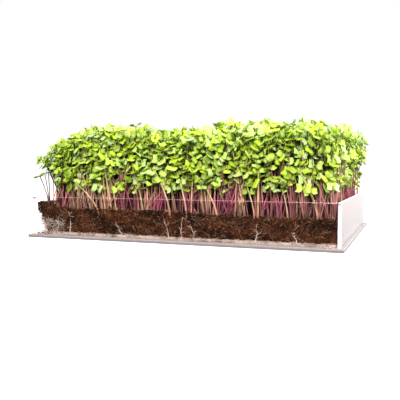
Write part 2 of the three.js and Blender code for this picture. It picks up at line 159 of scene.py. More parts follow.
# Bunches: the placing rule of the solids, repeated so that each bunch keeps its sprouts
BUNCH_COLUMNS = 8
BUNCH_ROWS = 6
BUNCH_JITTER = 0.003
HOLE_FLOOR = 0.019
CROWN_HEIGHT = 0.004
LEFT_HOLE_LIMIT = -0.127
FRONT_HOLE_LIMIT = -0.1045
SPROUTS_BY_ROW = (6, 4, 3, 3, 3, 3)
ROOT_SPREAD = 0.0052
HEAD_SPREAD = 1.25
HEAD_LIMIT_X = 0.141
HEAD_LIMIT_Y = 0.110
STEM_BEND = 1.6
CANOPY_TOP = 0.108
CANOPY_BACK_RISE = 0.004
CANOPY_SWELL = 0.003
CANOPY_SWELL_LENGTH = 0.033
CANOPY_EDGE_FALL = 0.003
CANOPY_EDGE_WIDTH = 0.025
CORNER_FALL = 0.026
CORNER_REACH = 0.045
DEPTH_INSIDE = 0.030
DEPTH_AT_EDGE = 0.050
DEPTH_POWER = 1.4
LOWEST_HEAD = 0.055
EDGE_WIDTH = 0.034
LEAF_LENGTH = 0.017
LEAF_HALF_WIDTH = 0.0096
LEAF_FOLD = 0.38
LEAF_CURL = 12.0
SIZE_MIN = 0.85
SIZE_RANGE = 0.3
LIFT_MIN = 0.05
LIFT_RANGE = 0.35
CLEARANCE = 0.0047
STEM_SAMPLE_STEP = 0.005
STEM_SAMPLE_START = 0.042
LEAF_SAMPLES = (
    (0.15, 0), (0.4, 0), (0.63, 0), (0.85, 0), (0.32, 0.4), (0.32, -0.4), (0.6, 0.5), (0.6, -0.5),
    (0.6, 0.96), (0.6, -0.96), (0.82, 0.75), (0.82, -0.75), (0.97, 0.4), (0.97, -0.4),
)
MAX_TRIES = 90
SPROUT_SEED = 52

# How far a bunch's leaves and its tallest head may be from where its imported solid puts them
LEAF_TOLERANCE = 0.0015
HEAD_BELOW = 0.02
HEAD_ABOVE = 0.001

# The way a leaf pair faces: its tilt at random, its pull upward and its pull outward at the edge
SOLID_FACING = (0.4, 0.9, 0.85)
FRONT_FACING = (0.6, 0.9, 0.85)
FILL_FACING = (1.3, 0.1, 1.3)
LOW_FACING = (1.2, 0.1, 1.3)

# Finer sprouts that fill each bunch, from the front row to the back, and the low ones at the edge
FILL_BY_ROW = (140, 66, 52, 50, 50, 54)
FILL_DEPTH_POWER = 1.2
FRONT_DEPTH_POWER = 1.0
LOW_FILL = 8
LOW_FRONT_HEIGHTS = (0.048, 0.062)
LOW_RIGHT_HEIGHTS = (0.048, 0.068)
FILL_TRIES = 26
FILL_CLEARANCE = 0.0014
FILL_SAMPLES = ((0.35, 0), (0.8, 0), (0.55, 0.75), (0.55, -0.75), (0.9, 0.4), (0.9, -0.4))
FILL_LEAF_WIDTH = 0.55
FILL_SIZES = (0.82, 1.18)
FILL_THICKNESS = (0.8, 1.25)
FILL_SEED = 731
SOLID_THICKNESS = 1.2
FRONT_BEND = 1.1
# Painted shade on the stems: it starts SHADE_FROM in from the walls and is full SHADE_WIDTH further in
SHADE_FROM = 0.005
SHADE_WIDTH = 0.009
NODE_MARGIN = 0.012
RIM_CLEARANCE = 0.0015

# Where the finer sprouts' roots may be, and how they gather into clusters
ROOTS_LEFT = SOIL_LEFT + 0.006
ROOTS_RIGHT = SOIL_RIGHT - 0.002
ROOTS_FRONT = SOIL_FRONT + 0.0015
ROOTS_BACK = SOIL_BACK - 0.002
ROOT_SINK = 0.002
CLUSTERS = 5
CLUSTER_REACH = 0.8
CLUSTER_SPREAD = 0.006
FRONT_CLUSTER_SPREAD = 0.0020
FRONT_CLUSTER_STEPS = (0.004, 0.011, 0.017, 0.023, 0.029, 0.035)
STRAY_SHARE = 0.15

# Heads of the finer sprouts: how uneven they are, which ones lean out over the tray, and the bare corner
HEAD_UNEVENNESS = (-0.004, 0.002)
OVERHANG = 0.009
OVERHANG_X = 0.128
OVERHANG_Z = 0.075
BARE_CORNER_X = -0.129
BARE_CORNER_Z = 0.069
LEFT_CORNER_TOP = 0.074
RIGHT_CORNER_TOP = 0.098
RIGHT_CORNER_X = 0.125

# Stems that stand out at the front: root x, head x, head z, stem radius, share of cream
FRONT_STEMS = (
    (-0.134, -0.1455, 0.060, 0.00062, 0.5),
    (-0.133, -0.1385, 0.062, 0.00055, 0.5),
    (-0.076, -0.1070, 0.057, 0.00080, 1.0),
    (-0.070, -0.0790, 0.062, 0.00070, 1.0),
    (-0.064, -0.0720, 0.068, 0.00070, 0.9),
    (-0.058, -0.0670, 0.061, 0.00065, 0.8),
    (-0.030, -0.0400, 0.063, 0.00070, 1.0),
    (-0.025, -0.0290, 0.066, 0.00060, 0.7),
    (-0.002, -0.0180, 0.066, 0.00080, 0.9),
    (0.014, 0.0010, 0.070, 0.00080, 1.0),
    (0.018, 0.0190, 0.067, 0.00065, 0.9),
    (0.043, 0.0290, 0.053, 0.00085, 1.0),
    (0.059, 0.0610, 0.069, 0.00055, 0.5),
    (0.077, 0.0660, 0.062, 0.00070, 1.0),
    (0.080, 0.0800, 0.064, 0.00100, 0.8),
    (0.106, 0.0980, 0.056, 0.00065, 0.9),
    (0.131, 0.1120, 0.069, 0.00105, 1.0),
)
FRONT_STEM_LEAF = 0.0110
FRONT_STEM_SINK = 0.0035
LEFT_STEMS_X = -0.13
LEFT_STEM_LEAF = 0.0075
LEFT_STEM_DULLNESS = 0.75

# Where the front stems spring from
FRONT_CLUSTERS = (
    -0.130, -0.117, -0.103, -0.088, -0.072, -0.062, -0.050, -0.043, -0.030, -0.015, 0.000, 0.013,
    0.030, 0.044, 0.052, 0.063, 0.080, 0.089, 0.099, 0.109, 0.120, 0.131, 0.142,
)

# Where the front stems are pinkest: middle x, half width and share of pink of each group
PINK_GROUPS = (
    (-0.120, 0.006, 0.8), (-0.047, 0.010, 0.9), (-0.015, 0.006, 1.0), (0.014, 0.006, 1.0),
    (0.048, 0.007, 1.0), (0.095, 0.014, 0.85), (0.132, 0.014, 0.5),
)
PINK_FADE = 0.006
PINK_DEPTH = 0.03

# Rises and dips of the canopy's front: middle x, half width and height
CREST = ((-0.042, 0.018, 0.0050), (0.052, 0.008, 0.0045), (0.098, 0.022, -0.0030))
CREST_DEPTH = 0.08

# Leaf template, for a leaf of length 1: rows of faces from foot to rim, half the blade's sweep in
# radians, the stalk's length and the thickness
LEAF_ROWS = 3
LEAF_SWEEP = 1.95
LEAF_STALK = 0.22
LEAF_THICKNESS = 0.035

# Leaf shapes: name, cup, ruffle and seed; columns of faces at the block's edge and inside it
LEAF_SHAPES = (
    ("flat", 0.20, 0.10, 1.0), ("cupped", 0.45, 0.12, 3.7), ("folded", 0.75, 0.08, 6.1),
    ("drooping", -0.15, 0.16, 8.8),
)
OUTER_COLUMNS = 6
INNER_COLUMNS = 4
LEAF_SEED = 2203

# Where the seed coats fall
HUSK_SEED = 66

# Softboxes: name, place and side, in metres
SOFTBOXES = (
    ("top", (0.15, -0.45, 1.1), 0.7),
    ("front", (0.30, -1.3, 0.75), 0.8),
    ("side", (1.3, 0.35, 0.7), 0.8),
)
SOFTBOX_AIM = (0.0, 0.0, 0.06)
FLOOR_DROP = 0.0002

# Camera of the photograph, in metres and degrees, for an image of 400 by 400 pixels
CAMERA_PLACE = (0.2004, -0.5691, 0.0666)
CAMERA_AZIMUTH = 20.9
CAMERA_PITCH = 3.14
FOCAL_PIXELS = 548.0
IMAGE_PIXELS = 400
SENSOR_MM = 36.0


class Stream:
    """A repeatable stream of numbers from 0 up to 1, the same as the part's source draws."""

    def __init__(self, seed):
        self.state = seed

    def __call__(self):
        self.state = (self.state + 0x6D2B79F5) & 0xFFFFFFFF
        mixed = (self.state ^ (self.state >> 15)) * (1 | self.state) & 0xFFFFFFFF
        mixed = (mixed + ((mixed ^ (mixed >> 7)) * (61 | mixed) & 0xFFFFFFFF) ^ mixed) & 0xFFFFFFFF
        return (mixed ^ (mixed >> 14)) / 4294967296

    def centred(self, reach):
        """A number within reach of nought."""
        return (self() - 0.5) * 2 * reach

    def between(self, low, high):
        """A number from low up to high."""
        return low + (high - low) * self()

    def skewed(self, low, reach, power):
        """A number from low up to low plus reach, more often a low one."""
        return low + reach * self() ** power

    def offsets(self, *reaches):
        """For each reach, a number within reach of nought."""
        return tuple(self.centred(reach) for reach in reaches)

    def pick(self, items):
        """One of the items."""
        return items[int(self() * len(items))]


def smooth(share):
    """Rises smoothly from 0 to 1 while the share runs from 0 to 1."""
    s = clamp(share, 0.0, 1.0)
    return s * s * (3 - 2 * s)


def clamp(value, low, high):
    """The value, kept from low to high."""
    return min(max(value, low), high)


def added(a, b, factor=1.0):
    """Vector a plus factor times b, in double precision."""
    return (a[0] + b[0] * factor, a[1] + b[1] * factor, a[2] + b[2] * factor)


def dot(a, b):
    """Dot product of two vectors."""
    return a[0] * b[0] + a[1] * b[1] + a[2] * b[2]


def cross(a, b):
    """Cross product of two vectors."""
    return (a[1] * b[2] - a[2] * b[1], a[2] * b[0] - a[0] * b[2], a[0] * b[1] - a[1] * b[0])


def unit(a):
    """The vector at length 1."""
    length = math.sqrt(dot(a, a))
    return (a[0] / length, a[1] / length, a[2] / length)


@dataclass
class Sprout:
    """One sprout: its root and head, and a frame for its pair of seed leaves."""

    bunch: int
    root: tuple
    head: tuple
    facing: tuple
    along: tuple
    across: tuple
    size: float
    lift: float

    def stem_point(self, share):
        """A point on the stem's middle line, which leans more the higher it gets."""
        lean = share ** STEM_BEND
        return (
            self.root[0] + (self.head[0] - self.root[0]) * lean,
            self.root[1] + (self.head[1] - self.root[1]) * lean,
            self.root[2] + (self.head[2] - self.root[2]) * share,
        )

    def leaf_point(self, side, u, v):
        """A point on a leaf, u along it and v across it; side is 1 or -1."""
        length = u * self.size
        width = v * self.size
        raised = length * math.sin(self.lift) + LEAF_FOLD * abs(width) - LEAF_CURL * length * length
        point = added(self.head, self.along, side * length * math.cos(self.lift))
        point = added(point, self.across, width)
        return added(point, self.facing, raised)


class TakenSpace:
    """Sample points already taken, filed by the cube of space that they lie in."""

    def __init__(self, clearance):
        self.clearance = clearance
        self.cubes = {}

    def cube(self, point):
        """The cube that holds a point."""
        return tuple(math.floor(value / self.clearance) for value in point)

    def add(self, point, bunch, on_stem):
        """Files one sample point."""
        self.cubes.setdefault(self.cube(point), []).append((point, bunch, on_stem))

    def blocks(self, point, bunch, on_stem):
        """True if another sprout is too near; stems of one bunch may touch."""
        x, y, z = self.cube(point)
        for i in (x - 1, x, x + 1):
            for j in (y - 1, y, y + 1):
                for k in (z - 1, z, z + 1):
                    for other, other_bunch, other_stem in self.cubes.get((i, j, k), ()):
                        if on_stem and other_stem and bunch == other_bunch:
                            continue
                        if math.dist(point, other) < self.clearance:
                            return True
        return False


def cell_middle(bunch):
    """Middle of a bunch's cell, seen from above."""
    size_x = 2 * INNER_X / BUNCH_COLUMNS
    size_y = 2 * INNER_Y / BUNCH_ROWS
    column = bunch % BUNCH_COLUMNS
    row = bunch // BUNCH_COLUMNS
    return -INNER_X + (column + 0.5) * size_x, -INNER_Y + (row + 0.5) * size_y


def cell_reach():
    """Half a cell's length and width."""
    return INNER_X / BUNCH_COLUMNS, INNER_Y / BUNCH_ROWS


def grid_name(bunch):
    """Row and column of a bunch, as its node's name gives them."""
    return f"{bunch // BUNCH_COLUMNS + 1}_{bunch % BUNCH_COLUMNS + 1}"


def place_crowns(stream):
    """Centre of each bunch's root crown, row by row from the front."""
    crowns = []
    for bunch in range(BUNCH_ROWS * BUNCH_COLUMNS):
        middle_x, middle_y = cell_middle(bunch)
        x = middle_x + stream.centred(BUNCH_JITTER)
        y = middle_y + stream.centred(BUNCH_JITTER)
        if bunch < BUNCH_COLUMNS:
            y = FRONT_HOLE_LIMIT
        crowns.append((max(x, LEFT_HOLE_LIMIT), y))
    return crowns


def edge_distance(x, y):
    """Distance from the nearest wall's inner face, seen from above."""
    return min(INNER_X - abs(x), INNER_Y - abs(y))


def edge_share(x, y):
    """1 at the canopy's edge, 0 well inside it."""
    return 1 - smooth(edge_distance(x, y) / EDGE_WIDTH)


def canopy_top_at(x, y):
    """Height of the canopy's highest heads."""
    corner = math.hypot(x + INNER_X, 0.7 * (y + INNER_Y))
    edge = 1 - smooth(edge_distance(x, y) / CANOPY_EDGE_WIDTH)
    swell = math.sin(x / CANOPY_SWELL_LENGTH + y / (2 * CANOPY_SWELL_LENGTH))
    top = CANOPY_TOP + CANOPY_BACK_RISE * y / INNER_Y + CANOPY_SWELL * swell
    return top - CANOPY_EDGE_FALL * edge - CORNER_FALL * (1 - smooth(corner / CORNER_REACH))


def draw_head(bunch, stream, spread, power):
    """Where a sprout's head is: over its own cell or a little past it, below the canopy's top."""
    middle_x, middle_y = cell_middle(bunch)
    reach_x, reach_y = cell_reach()
    x = clamp(middle_x + stream.centred(spread * reach_x), -HEAD_LIMIT_X, HEAD_LIMIT_X)
    y = clamp(middle_y + stream.centred(spread * reach_y), -HEAD_LIMIT_Y, HEAD_LIMIT_Y)
    top = canopy_top_at(x, y)
    depth = DEPTH_INSIDE + (DEPTH_AT_EDGE - DEPTH_INSIDE) * edge_share(x, y)
    low = max(top - depth, LOWEST_HEAD)
    return (x, y, top - (top - low) * stream() ** power)


def draw_facing(root, head, stream, rule):
    """The way a leaf pair faces: up, along its stem, a little at random, and outward at the edge."""
    tilt, up, out = rule
    stem = unit(added(head, root, -1.0))
    outward = (
        smooth(abs(head[0]) / INNER_X * 3 - 2) * math.copysign(1, head[0]),
        smooth(abs(head[1]) / INNER_Y * 3 - 2) * math.copysign(1, head[1]),
        0.0,
    )
    facing = added(added((0.0, 0.0, up), stem), outward, out)
    return unit(added(facing, (*stream.offsets(tilt, tilt), 0.0)))


def finish_sprout(bunch, root, head, stream, rule):
    """Adds the leaf pair's frame and size to a root and head."""
    facing = draw_facing(root, head, stream, rule)
    turn = 2 * math.pi * stream()
    along = (math.cos(turn), math.sin(turn), 0.0)
    along = unit(added(along, facing, -dot(along, facing)))
    across = cross(facing, along)
    size = SIZE_MIN + SIZE_RANGE * stream()
    lift = LIFT_MIN + LIFT_RANGE * stream()
    return Sprout(bunch, root, head, facing, along, across, size, lift)


def draw_sprout(bunch, crown, stream):
    """One of the sprouts that the bunch's solid holds."""
    angle = 2 * math.pi * stream()
    reach = ROOT_SPREAD * math.sqrt(stream())
    root = (
        crown[0] + reach * math.cos(angle),
        crown[1] + reach * math.sin(angle),
        HOLE_FLOOR + CROWN_HEIGHT / 2,
    )
    head = draw_head(bunch, stream, HEAD_SPREAD, DEPTH_POWER)
    return finish_sprout(bunch, root, head, stream, SOLID_FACING)


def sprout_samples(sprout):
    """Sample points on a sprout's stem and leaves, as (point, on_stem)."""
    height = sprout.head[2] - sprout.root[2]
    z = STEM_SAMPLE_START
    while z < sprout.head[2]:
        yield sprout.stem_point((z - sprout.root[2]) / height), True
        z += STEM_SAMPLE_STEP
    for side in (1, -1):
        for u, v in LEAF_SAMPLES:
            yield sprout.leaf_point(side, u * LEAF_LENGTH, v * LEAF_HALF_WIDTH), False


def grow_bunches():
    """The sprouts of every solid bunch, each placed where there is room."""
    stream = Stream(SPROUT_SEED)
    crowns = place_crowns(stream)
    taken = TakenSpace(CLEARANCE)
    bunches = [[] for _ in crowns]
    for turn in range(max(SPROUTS_BY_ROW)):
        for bunch, crown in enumerate(crowns):
            if turn >= SPROUTS_BY_ROW[bunch // BUNCH_COLUMNS]:
                continue
            for _ in range(MAX_TRIES):
                sprout = draw_sprout(bunch, crown, stream)
                samples = sprout_samples(sprout)
                if any(taken.blocks(point, bunch, on_stem) for point, on_stem in samples):
                    continue
                for point, on_stem in sprout_samples(sprout):
                    taken.add(point, bunch, on_stem)
                bunches[bunch].append(sprout)
                break
    return bunches


def soil_top_at(x):
    """Height of the solid soil's top, before its lumps."""
    return SOIL_TOP + LEFT_RISE * (1 - smooth((x + INNER_X) / LEFT_RISE_LENGTH))


def soil_skin_at(x):
    """Height of the finished soil, which swells a little along its left half."""
    return soil_top_at(x) + SOIL_SWELL * (1 - smooth((x - SWELL_FROM) / SWELL_LENGTH))


def soil_wear_at(x, y, z):
    """How far the soil's left end is worn back at this height."""
    wear = 1 - 0.7 * smooth((y + INNER_Y) / UNDERCUT_DEPTH)
    depth = (soil_skin_at(x) - z) / (soil_skin_at(x) - MAT_TOP)
    return LEFT_UNDERCUT * wear * clamp(depth, 0, 1) ** 1.3


class Link:
    """A node's output, used in Python expressions: arithmetic on it adds Math nodes."""

    def __init__(self, paint, socket):
        self.paint = paint
        self.socket = socket

    def maths(self, operation, first, second):
        """A Math node on two values."""
        return self.paint.node("ShaderNodeMath", {"operation": operation}, {0: first, 1: second})

    def __add__(self, other):
        return self.maths("ADD", self, other)

    def __radd__(self, other):
        return self.maths("ADD", other, self)

    def __sub__(self, other):
        return self.maths("SUBTRACT", self, other)

    def __rsub__(self, other):
        return self.maths("SUBTRACT", other, self)

    def __mul__(self, other):
        return self.maths("MULTIPLY", self, other)

    def __rmul__(self, other):
        return self.maths("MULTIPLY", other, self)

    def __pow__(self, other):
        return self.maths("POWER", self, other)

    def highest(self, other):
        """The higher of two values."""
        return self.maths("MAXIMUM", self, other)

    def rise(self, low, high):
        """0 below the low value, 1 above the high one, and smooth between them."""
        settings = {"interpolation_type": "SMOOTHSTEP", "clamp": True}
        inputs = {0: self, 1: low, 2: high, 3: 0.0, 4: 1.0}
        return self.paint.node("ShaderNodeMapRange", settings, inputs)


class Paint:
    """A material or a world under construction."""

    def __init__(self, owner):
        self.owner = owner
        owner.use_nodes = True
        self.tree = owner.node_tree
        self.tree.nodes.clear()

    def node(self, kind, settings=None, inputs=None, output=0):
        """Adds a node: its settings first, then the values or links of its sockets."""
        made = self.tree.nodes.new(kind)
        for name, value in (settings or {}).items():
            if name == "stops":
                ramp = made.color_ramp
                while len(ramp.elements) < len(value):
                    ramp.elements.new(0.5)
                for element, (place, colour) in zip(ramp.elements, value):
                    element.position = place
                    element.color = (*colour, 1.0)
            else:
                setattr(made, name, value)
        for name, value in (inputs or {}).items():
            if isinstance(value, Link):
                self.tree.links.new(value.socket, made.inputs[name])
            else:
                made.inputs[name].default_value = value
        return Link(self, made.outputs[output])

    def place(self):
        """Object coordinates, in metres."""
        return self.node("ShaderNodeTexCoord", output="Object")

    def stretched(self, scale):
        """Object coordinates scaled by a different amount along each axis."""
        return self.node("ShaderNodeMapping", None, {"Vector": self.place(), "Scale": scale})

    def axis(self, vector, which):
        """One part of a vector: 0 for x, 1 for y, 2 for z."""
        return self.node("ShaderNodeSeparateXYZ", None, {0: vector}, output=which)

    def cloud(self, vector, scale, detail=3.0, roughness=0.55):
        """Soft noise from 0 to 1."""
        inputs = {"Vector": vector, "Scale": scale, "Detail": detail, "Roughness": roughness}
        return self.node("ShaderNodeTexNoise", None, inputs)

    def number(self, name):
        """A number kept for each point of the mesh."""
        return self.node("ShaderNodeAttribute", {"attribute_name": name}, output="Fac")

    def blend(self, factor, first, second):
        """A colour between two colours."""
        inputs = {0: factor, 6: opaque(first), 7: opaque(second)}
        return self.node("ShaderNodeMix", {"data_type": "RGBA"}, inputs, output=2)

    def ramp(self, factor, stops):
        """A colour from a ramp."""
        return self.node("ShaderNodeValToRGB", {"stops": stops}, {0: factor})

    def bump(self, height, strength, distance):
        """A normal bent by a height."""
        inputs = {"Height": height, "Strength": strength, "Distance": distance}
        return self.node("ShaderNodeBump", None, inputs)

    def finish(self, shader):
        """Ends the tree with its output."""
        whole = "World" if isinstance(self.owner, bpy.types.World) else "Material"
        end = self.tree.nodes.new(f"ShaderNodeOutput{whole}")
        self.tree.links.new(shader.socket, end.inputs["Surface"])
        return self.owner


def opaque(colour):
    """A colour with its alpha, or a link left as it is."""
    return colour if isinstance(colour, Link) else (*tuple(colour)[:3], 1.0)


def cast_acrylic(name, settings, haze, wear):
    """Clear cast acrylic, a little pink, with upright wipe marks as strong as its wear."""
    paint = Paint(bpy.data.materials.new(name))
    streaks = paint.cloud(paint.stretched((60.0, 60.0, 9.0)), 6.0)
    specks = paint.cloud(paint.place(), 900.0, 2.0)
    marks = (streaks.rise(0.42, 0.75) * 0.6 + specks.rise(0.60, 0.74) * 0.4) * wear
    through = paint.node("ShaderNodeBsdfTransparent", None, {"Color": opaque(settings.tint)})
    # The wiped face's scattered light is darker towards its foot, in mottles and along the streaks
    low = 1.0 - paint.axis(paint.place(), 2).rise(0.008, 0.042)
    mottle = paint.cloud(paint.place(), 260.0, 4.0).rise(0.48, 0.70) * low
    worn = low * 0.7 + mottle * 0.6 + streaks.rise(0.5, 0.8) * 0.4
    tint = paint.blend(worn, settings.milk, settings.low_milk)
    inputs = {"Base Color": tint, "Roughness": 1.0, "Specular IOR Level": 0.0}
    milk = paint.node("ShaderNodeBsdfPrincipled", None, inputs)
    sheet = paint.node("ShaderNodeMixShader", None, {0: marks + haze, 1: through, 2: milk})
    inputs = {"Color": opaque(settings.tint), "Roughness": marks * 0.3 + 0.14}
    shine = paint.node("ShaderNodeBsdfGlossy", None, inputs)
    turned = paint.node("ShaderNodeLayerWeight", None, {"Blend": 0.5}, output="Facing")
    gloss = turned ** 5.0 * 0.96 + 0.04
    return paint.finish(paint.node("ShaderNodeMixShader", None, {0: gloss, 1: sheet, 2: shine}))


def sawn_acrylic(name, colour, foot, glow):
    """The sawn edge of an acrylic sheet, with a painted glow: it gives off its own colour as light, for the
    light piped through the sheet; its foot has its own colour, on the base a painted contact shadow.
    """
    paint = Paint(bpy.data.materials.new(name))
    marks = paint.cloud(paint.stretched((700.0, 700.0, 120.0)), 1.0)
    pale = paint.blend(marks.rise(0.35, 0.65), [0.86 * part for part in colour], colour)
    # Below about 2 mm the foot colour takes over; on the base's edges it is a painted contact shadow
    pale = paint.blend(paint.axis(paint.place(), 2).rise(0.0013, 0.0026), foot, pale)
    inputs = {
        "Base Color": pale,
        "Roughness": marks * 0.2 + 0.6,
        "Specular IOR Level": 0.15,
        # Painted glow: the edge gives off its own colour as light
        "Emission Color": pale,
        "Emission Strength": glow,
        "Normal": paint.bump(marks, 0.1, 0.0002),
    }
    return paint.finish(paint.node("ShaderNodeBsdfPrincipled", None, inputs))


def coir_soil(settings):
    """Damp coir: dark brown, with reddish patches, black specks and pale flecks."""
    paint = Paint(bpy.data.materials.new("coir_soil"))
    where = paint.place()
    patches = paint.cloud(where, 60.0, 3.0)
    grains = paint.cloud(where, 700.0, 4.0, 0.7)
    specks = paint.cloud(where, 1500.0, 2.0)
    tone = paint.number("tone")
    brown = paint.blend(patches.rise(0.35, 0.65), settings.dark, settings.reddish)
    brown = paint.blend(grains.rise(0.42, 0.58) * 0.9, settings.black, brown)
    brown = paint.blend(tone.rise(0.55, 1.0) * 0.85, brown, settings.fibre)
    brown = paint.blend(specks.rise(0.66, 0.76) * 0.6, brown, settings.fleck)
    inputs = {
        "Base Color": brown,
        "Roughness": grains * 0.25 + 0.68,
        "Specular IOR Level": 0.08,
        "Normal": paint.bump(grains + patches, 0.8, 0.0012),
    }
    return paint.finish(paint.node("ShaderNodeBsdfPrincipled", None, inputs))


def pale_root(name, settings, clean):
    """Fresh roots: cream white, and browner in patches that start where the noise passes clean."""
    paint = Paint(bpy.data.materials.new(name))
    where = paint.place()
    patches = paint.cloud(where, 160.0, 4.0)
    fuzz = paint.cloud(where, 1800.0, 3.0)
    colour = paint.blend(patches.rise(clean, clean + 0.3), settings.cream, settings.stained)
    inputs = {
        "Base Color": colour,
        "Roughness": fuzz * 0.2 + 0.5,
        "Specular IOR Level": 0.3,
        "Normal": paint.bump(fuzz, 0.5, 0.0004),
    }
    return paint.finish(paint.node("ShaderNodeBsdfPrincipled", None, inputs))


def sprout_stem(settings):
    """Stems: pale pink at the foot, then pink or cream, green under the leaves, darker at random, and dark
    far inside, which is painted shade.
    """
    paint = Paint(bpy.data.materials.new("sprout_stem"))
    share = paint.number("share")
    pink = paint.number("pink")
    tone = paint.number("tone")
    ribs = paint.cloud(paint.stretched((1500.0, 1500.0, 150.0)), 1.0)
    middle = paint.blend(pink, settings.cream_stem, settings.pink_stem)
    lower = paint.blend(share.rise(0.0, 0.20), settings.stem_foot, middle)
    colour = paint.blend(share.rise(0.45, 0.85), lower, settings.green_stem)
    # Darkened by tone: at random, and far from the walls as painted shade
    colour = paint.blend(tone * 0.93, colour, settings.shaded_stem)
    inputs = {
        "Base Color": colour,
        "Roughness": ribs * 0.2 + 0.32,
        "Specular IOR Level": 0.3,
        "Normal": paint.bump(ribs, 0.25, 0.0003),
    }
    return paint.finish(paint.node("ShaderNodeBsdfPrincipled", None, inputs))


def seed_leaf(settings):
    """Seed leaves: from dark to pale yellow-green, with pale mottles that are painted highlights, a paler
    foot, and lit from behind.
    """
    paint = Paint(bpy.data.materials.new("seed_leaf"))
    share = paint.number("share")
    tone = paint.number("tone")
    where = paint.place()
    mottle = paint.cloud(where, 420.0, 3.0)
    veins = paint.cloud(where, 1300.0, 2.0)
    stops = ((0.0, settings.leaf_dark), (0.5, settings.leaf_mid), (1.0, settings.leaf_pale))
    colour = paint.ramp(tone, stops)
    # Painted highlights: pale mottles in the pale leaf colour over every leaf
    colour = paint.blend(mottle.rise(0.42, 0.68) * 0.45, colour, settings.leaf_pale)
    colour = paint.blend((1.0 - share.rise(0.0, 0.55)) * 0.45, colour, settings.leaf_rib)
    inputs = {
        "Base Color": colour,
        "Roughness": veins * 0.2 + 0.27,
        "Specular IOR Level": 0.27,
        "Normal": paint.bump(veins + mottle, 0.5, 0.0006),
    }
    front = paint.node("ShaderNodeBsdfPrincipled", None, inputs)
    behind = paint.node("ShaderNodeBsdfTranslucent", None, {"Color": opaque(settings.leaf_lit)})
    return paint.finish(paint.node("ShaderNodeMixShader", None, {0: settings.glow, 1: front, 2: behind}))


def seed_husk(settings):
    """Dry seed coats: tan with darker patches."""
    paint = Paint(bpy.data.materials.new("seed_husk"))
    patches = paint.cloud(paint.place(), 500.0, 3.0)
    colour = paint.blend(patches.rise(0.35, 0.65), settings.dark_husk, settings.husk)
    inputs = {
        "Base Color": colour,
        "Roughness": patches * 0.3 + 0.45,
        "Normal": paint.bump(patches, 0.4, 0.0004),
    }
    return paint.finish(paint.node("ShaderNodeBsdfPrincipled", None, inputs))


def studio_floor(settings):
    """A white sweep, bright enough to merge with the backdrop."""
    paint = Paint(bpy.data.materials.new("studio_floor"))
    grain = paint.cloud(paint.place(), 40.0)
    colour = paint.blend(grain, (0.90, 0.90, 0.90), (0.93, 0.93, 0.93))
    away = paint.node("ShaderNodeVectorMath", {"operation": "LENGTH"}, {0: paint.place()}, "Value")
    glow = paint.blend(away.rise(0.25, 0.9), (settings.floor_glow,) * 3, (1.0, 1.0, 1.0))
    inputs = {
        "Base Color": colour,
        "Roughness": grain * 0.1 + 0.8,
        "Emission Color": glow,
        "Emission Strength": 1.0,
    }
    return paint.finish(paint.node("ShaderNodeBsdfPrincipled", None, inputs))


def finished_piece(name, bm, materials, numbers=None, rounded=True):
    """Turns a bmesh into a piece that rides on the part."""
    mesh = bpy.data.meshes.new(name)
    bm.to_mesh(mesh)
    bm.free()
    for material in materials:
        mesh.materials.append(material)
    for key, values in (numbers or {}).items():
        mesh.attributes.new(key, "FLOAT", "POINT").data.foreach_set("value", values)
    if rounded:
        mesh.shade_smooth()
    piece = bpy.data.objects.new(name, mesh)
    bpy.context.scene.collection.objects.link(piece)
    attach(piece, BODY)
    return piece


class Stamps:
    """A mesh made of moved copies of small templates, with numbers kept for each point."""

    def __init__(self, *names):
        self.bm = bmesh.new()
        self.numbers = {name: [] for name in names}

    def add(self, template, place, **numbers):
        """Adds a copy whose points go through place; a number may depend on the template's point."""
        start = len(self.bm.verts)
        self.bm.from_mesh(template)
        self.bm.verts.ensure_lookup_table()
        for vert in self.bm.verts[start:]:
            spot = tuple(vert.co)
            vert.co = place(spot)
            for name, value in numbers.items():
                self.numbers[name].append(value(spot) if callable(value) else value)


def template_of(name, bm):
    """Keeps a bmesh as a template mesh."""
    bmesh.ops.recalc_face_normals(bm, faces=bm.faces[:])
    mesh = bpy.data.meshes.new(name)
    bm.to_mesh(mesh)
    bm.free()
    return mesh


def tube_template(name, sides, steps):
    """A closed tube of radius 1 that runs up from z 0 to 1."""
    bm = bmesh.new()
    bmesh.ops.create_circle(bm, cap_ends=True, segments=sides, radius=1.0)
    rim = bm.edges[:]
    for _ in range(steps):
        made = bmesh.ops.extrude_edge_only(bm, edges=rim)["geom"]
        points = [item for item in made if isinstance(item, bmesh.types.BMVert)]
        rim = [item for item in made if isinstance(item, bmesh.types.BMEdge)]
        bmesh.ops.translate(bm, verts=points, vec=(0.0, 0.0, 1.0 / steps))
    bmesh.ops.edgeloop_fill(bm, edges=rim)
    return template_of(name, bm)


def pebble_template(name, seed):
    """A rough lump with a radius of about 1."""
    bm = bmesh.new()
    bmesh.ops.create_icosphere(bm, subdivisions=1, radius=1.0)
    for vert in bm.verts:
        vert.co *= 0.85 + 0.35 * noise.noise(vert.co * 1.3 + Vector((seed, 0.0, 0.0)))
    return template_of(name, bm)


def husk_template(name):
    """An open seed coat: a thin round dish, cut off at the top."""
    bm = bmesh.new()
    bmesh.ops.create_uvsphere(bm, u_segments=10, v_segments=6, radius=1.0)
    above = [vert for vert in bm.verts if vert.co.z > 0.3]
    bmesh.ops.delete(bm, geom=above, context="VERTS")
    bmesh.ops.solidify(bm, geom=bm.faces[:], thickness=0.12)
    return template_of(name, bm)


def leaf_rim(angle):
    """Distance from the foot of the blade to its rim: two round lobes with a notch between them."""
    lobe = 0.50 + 0.34 * math.cos(angle * 0.92) + 0.15 * math.cos(2.0 * (abs(angle) - 0.62))
    notch = 0.27 * math.exp(-((angle / 0.30) ** 2))
    return lobe - notch


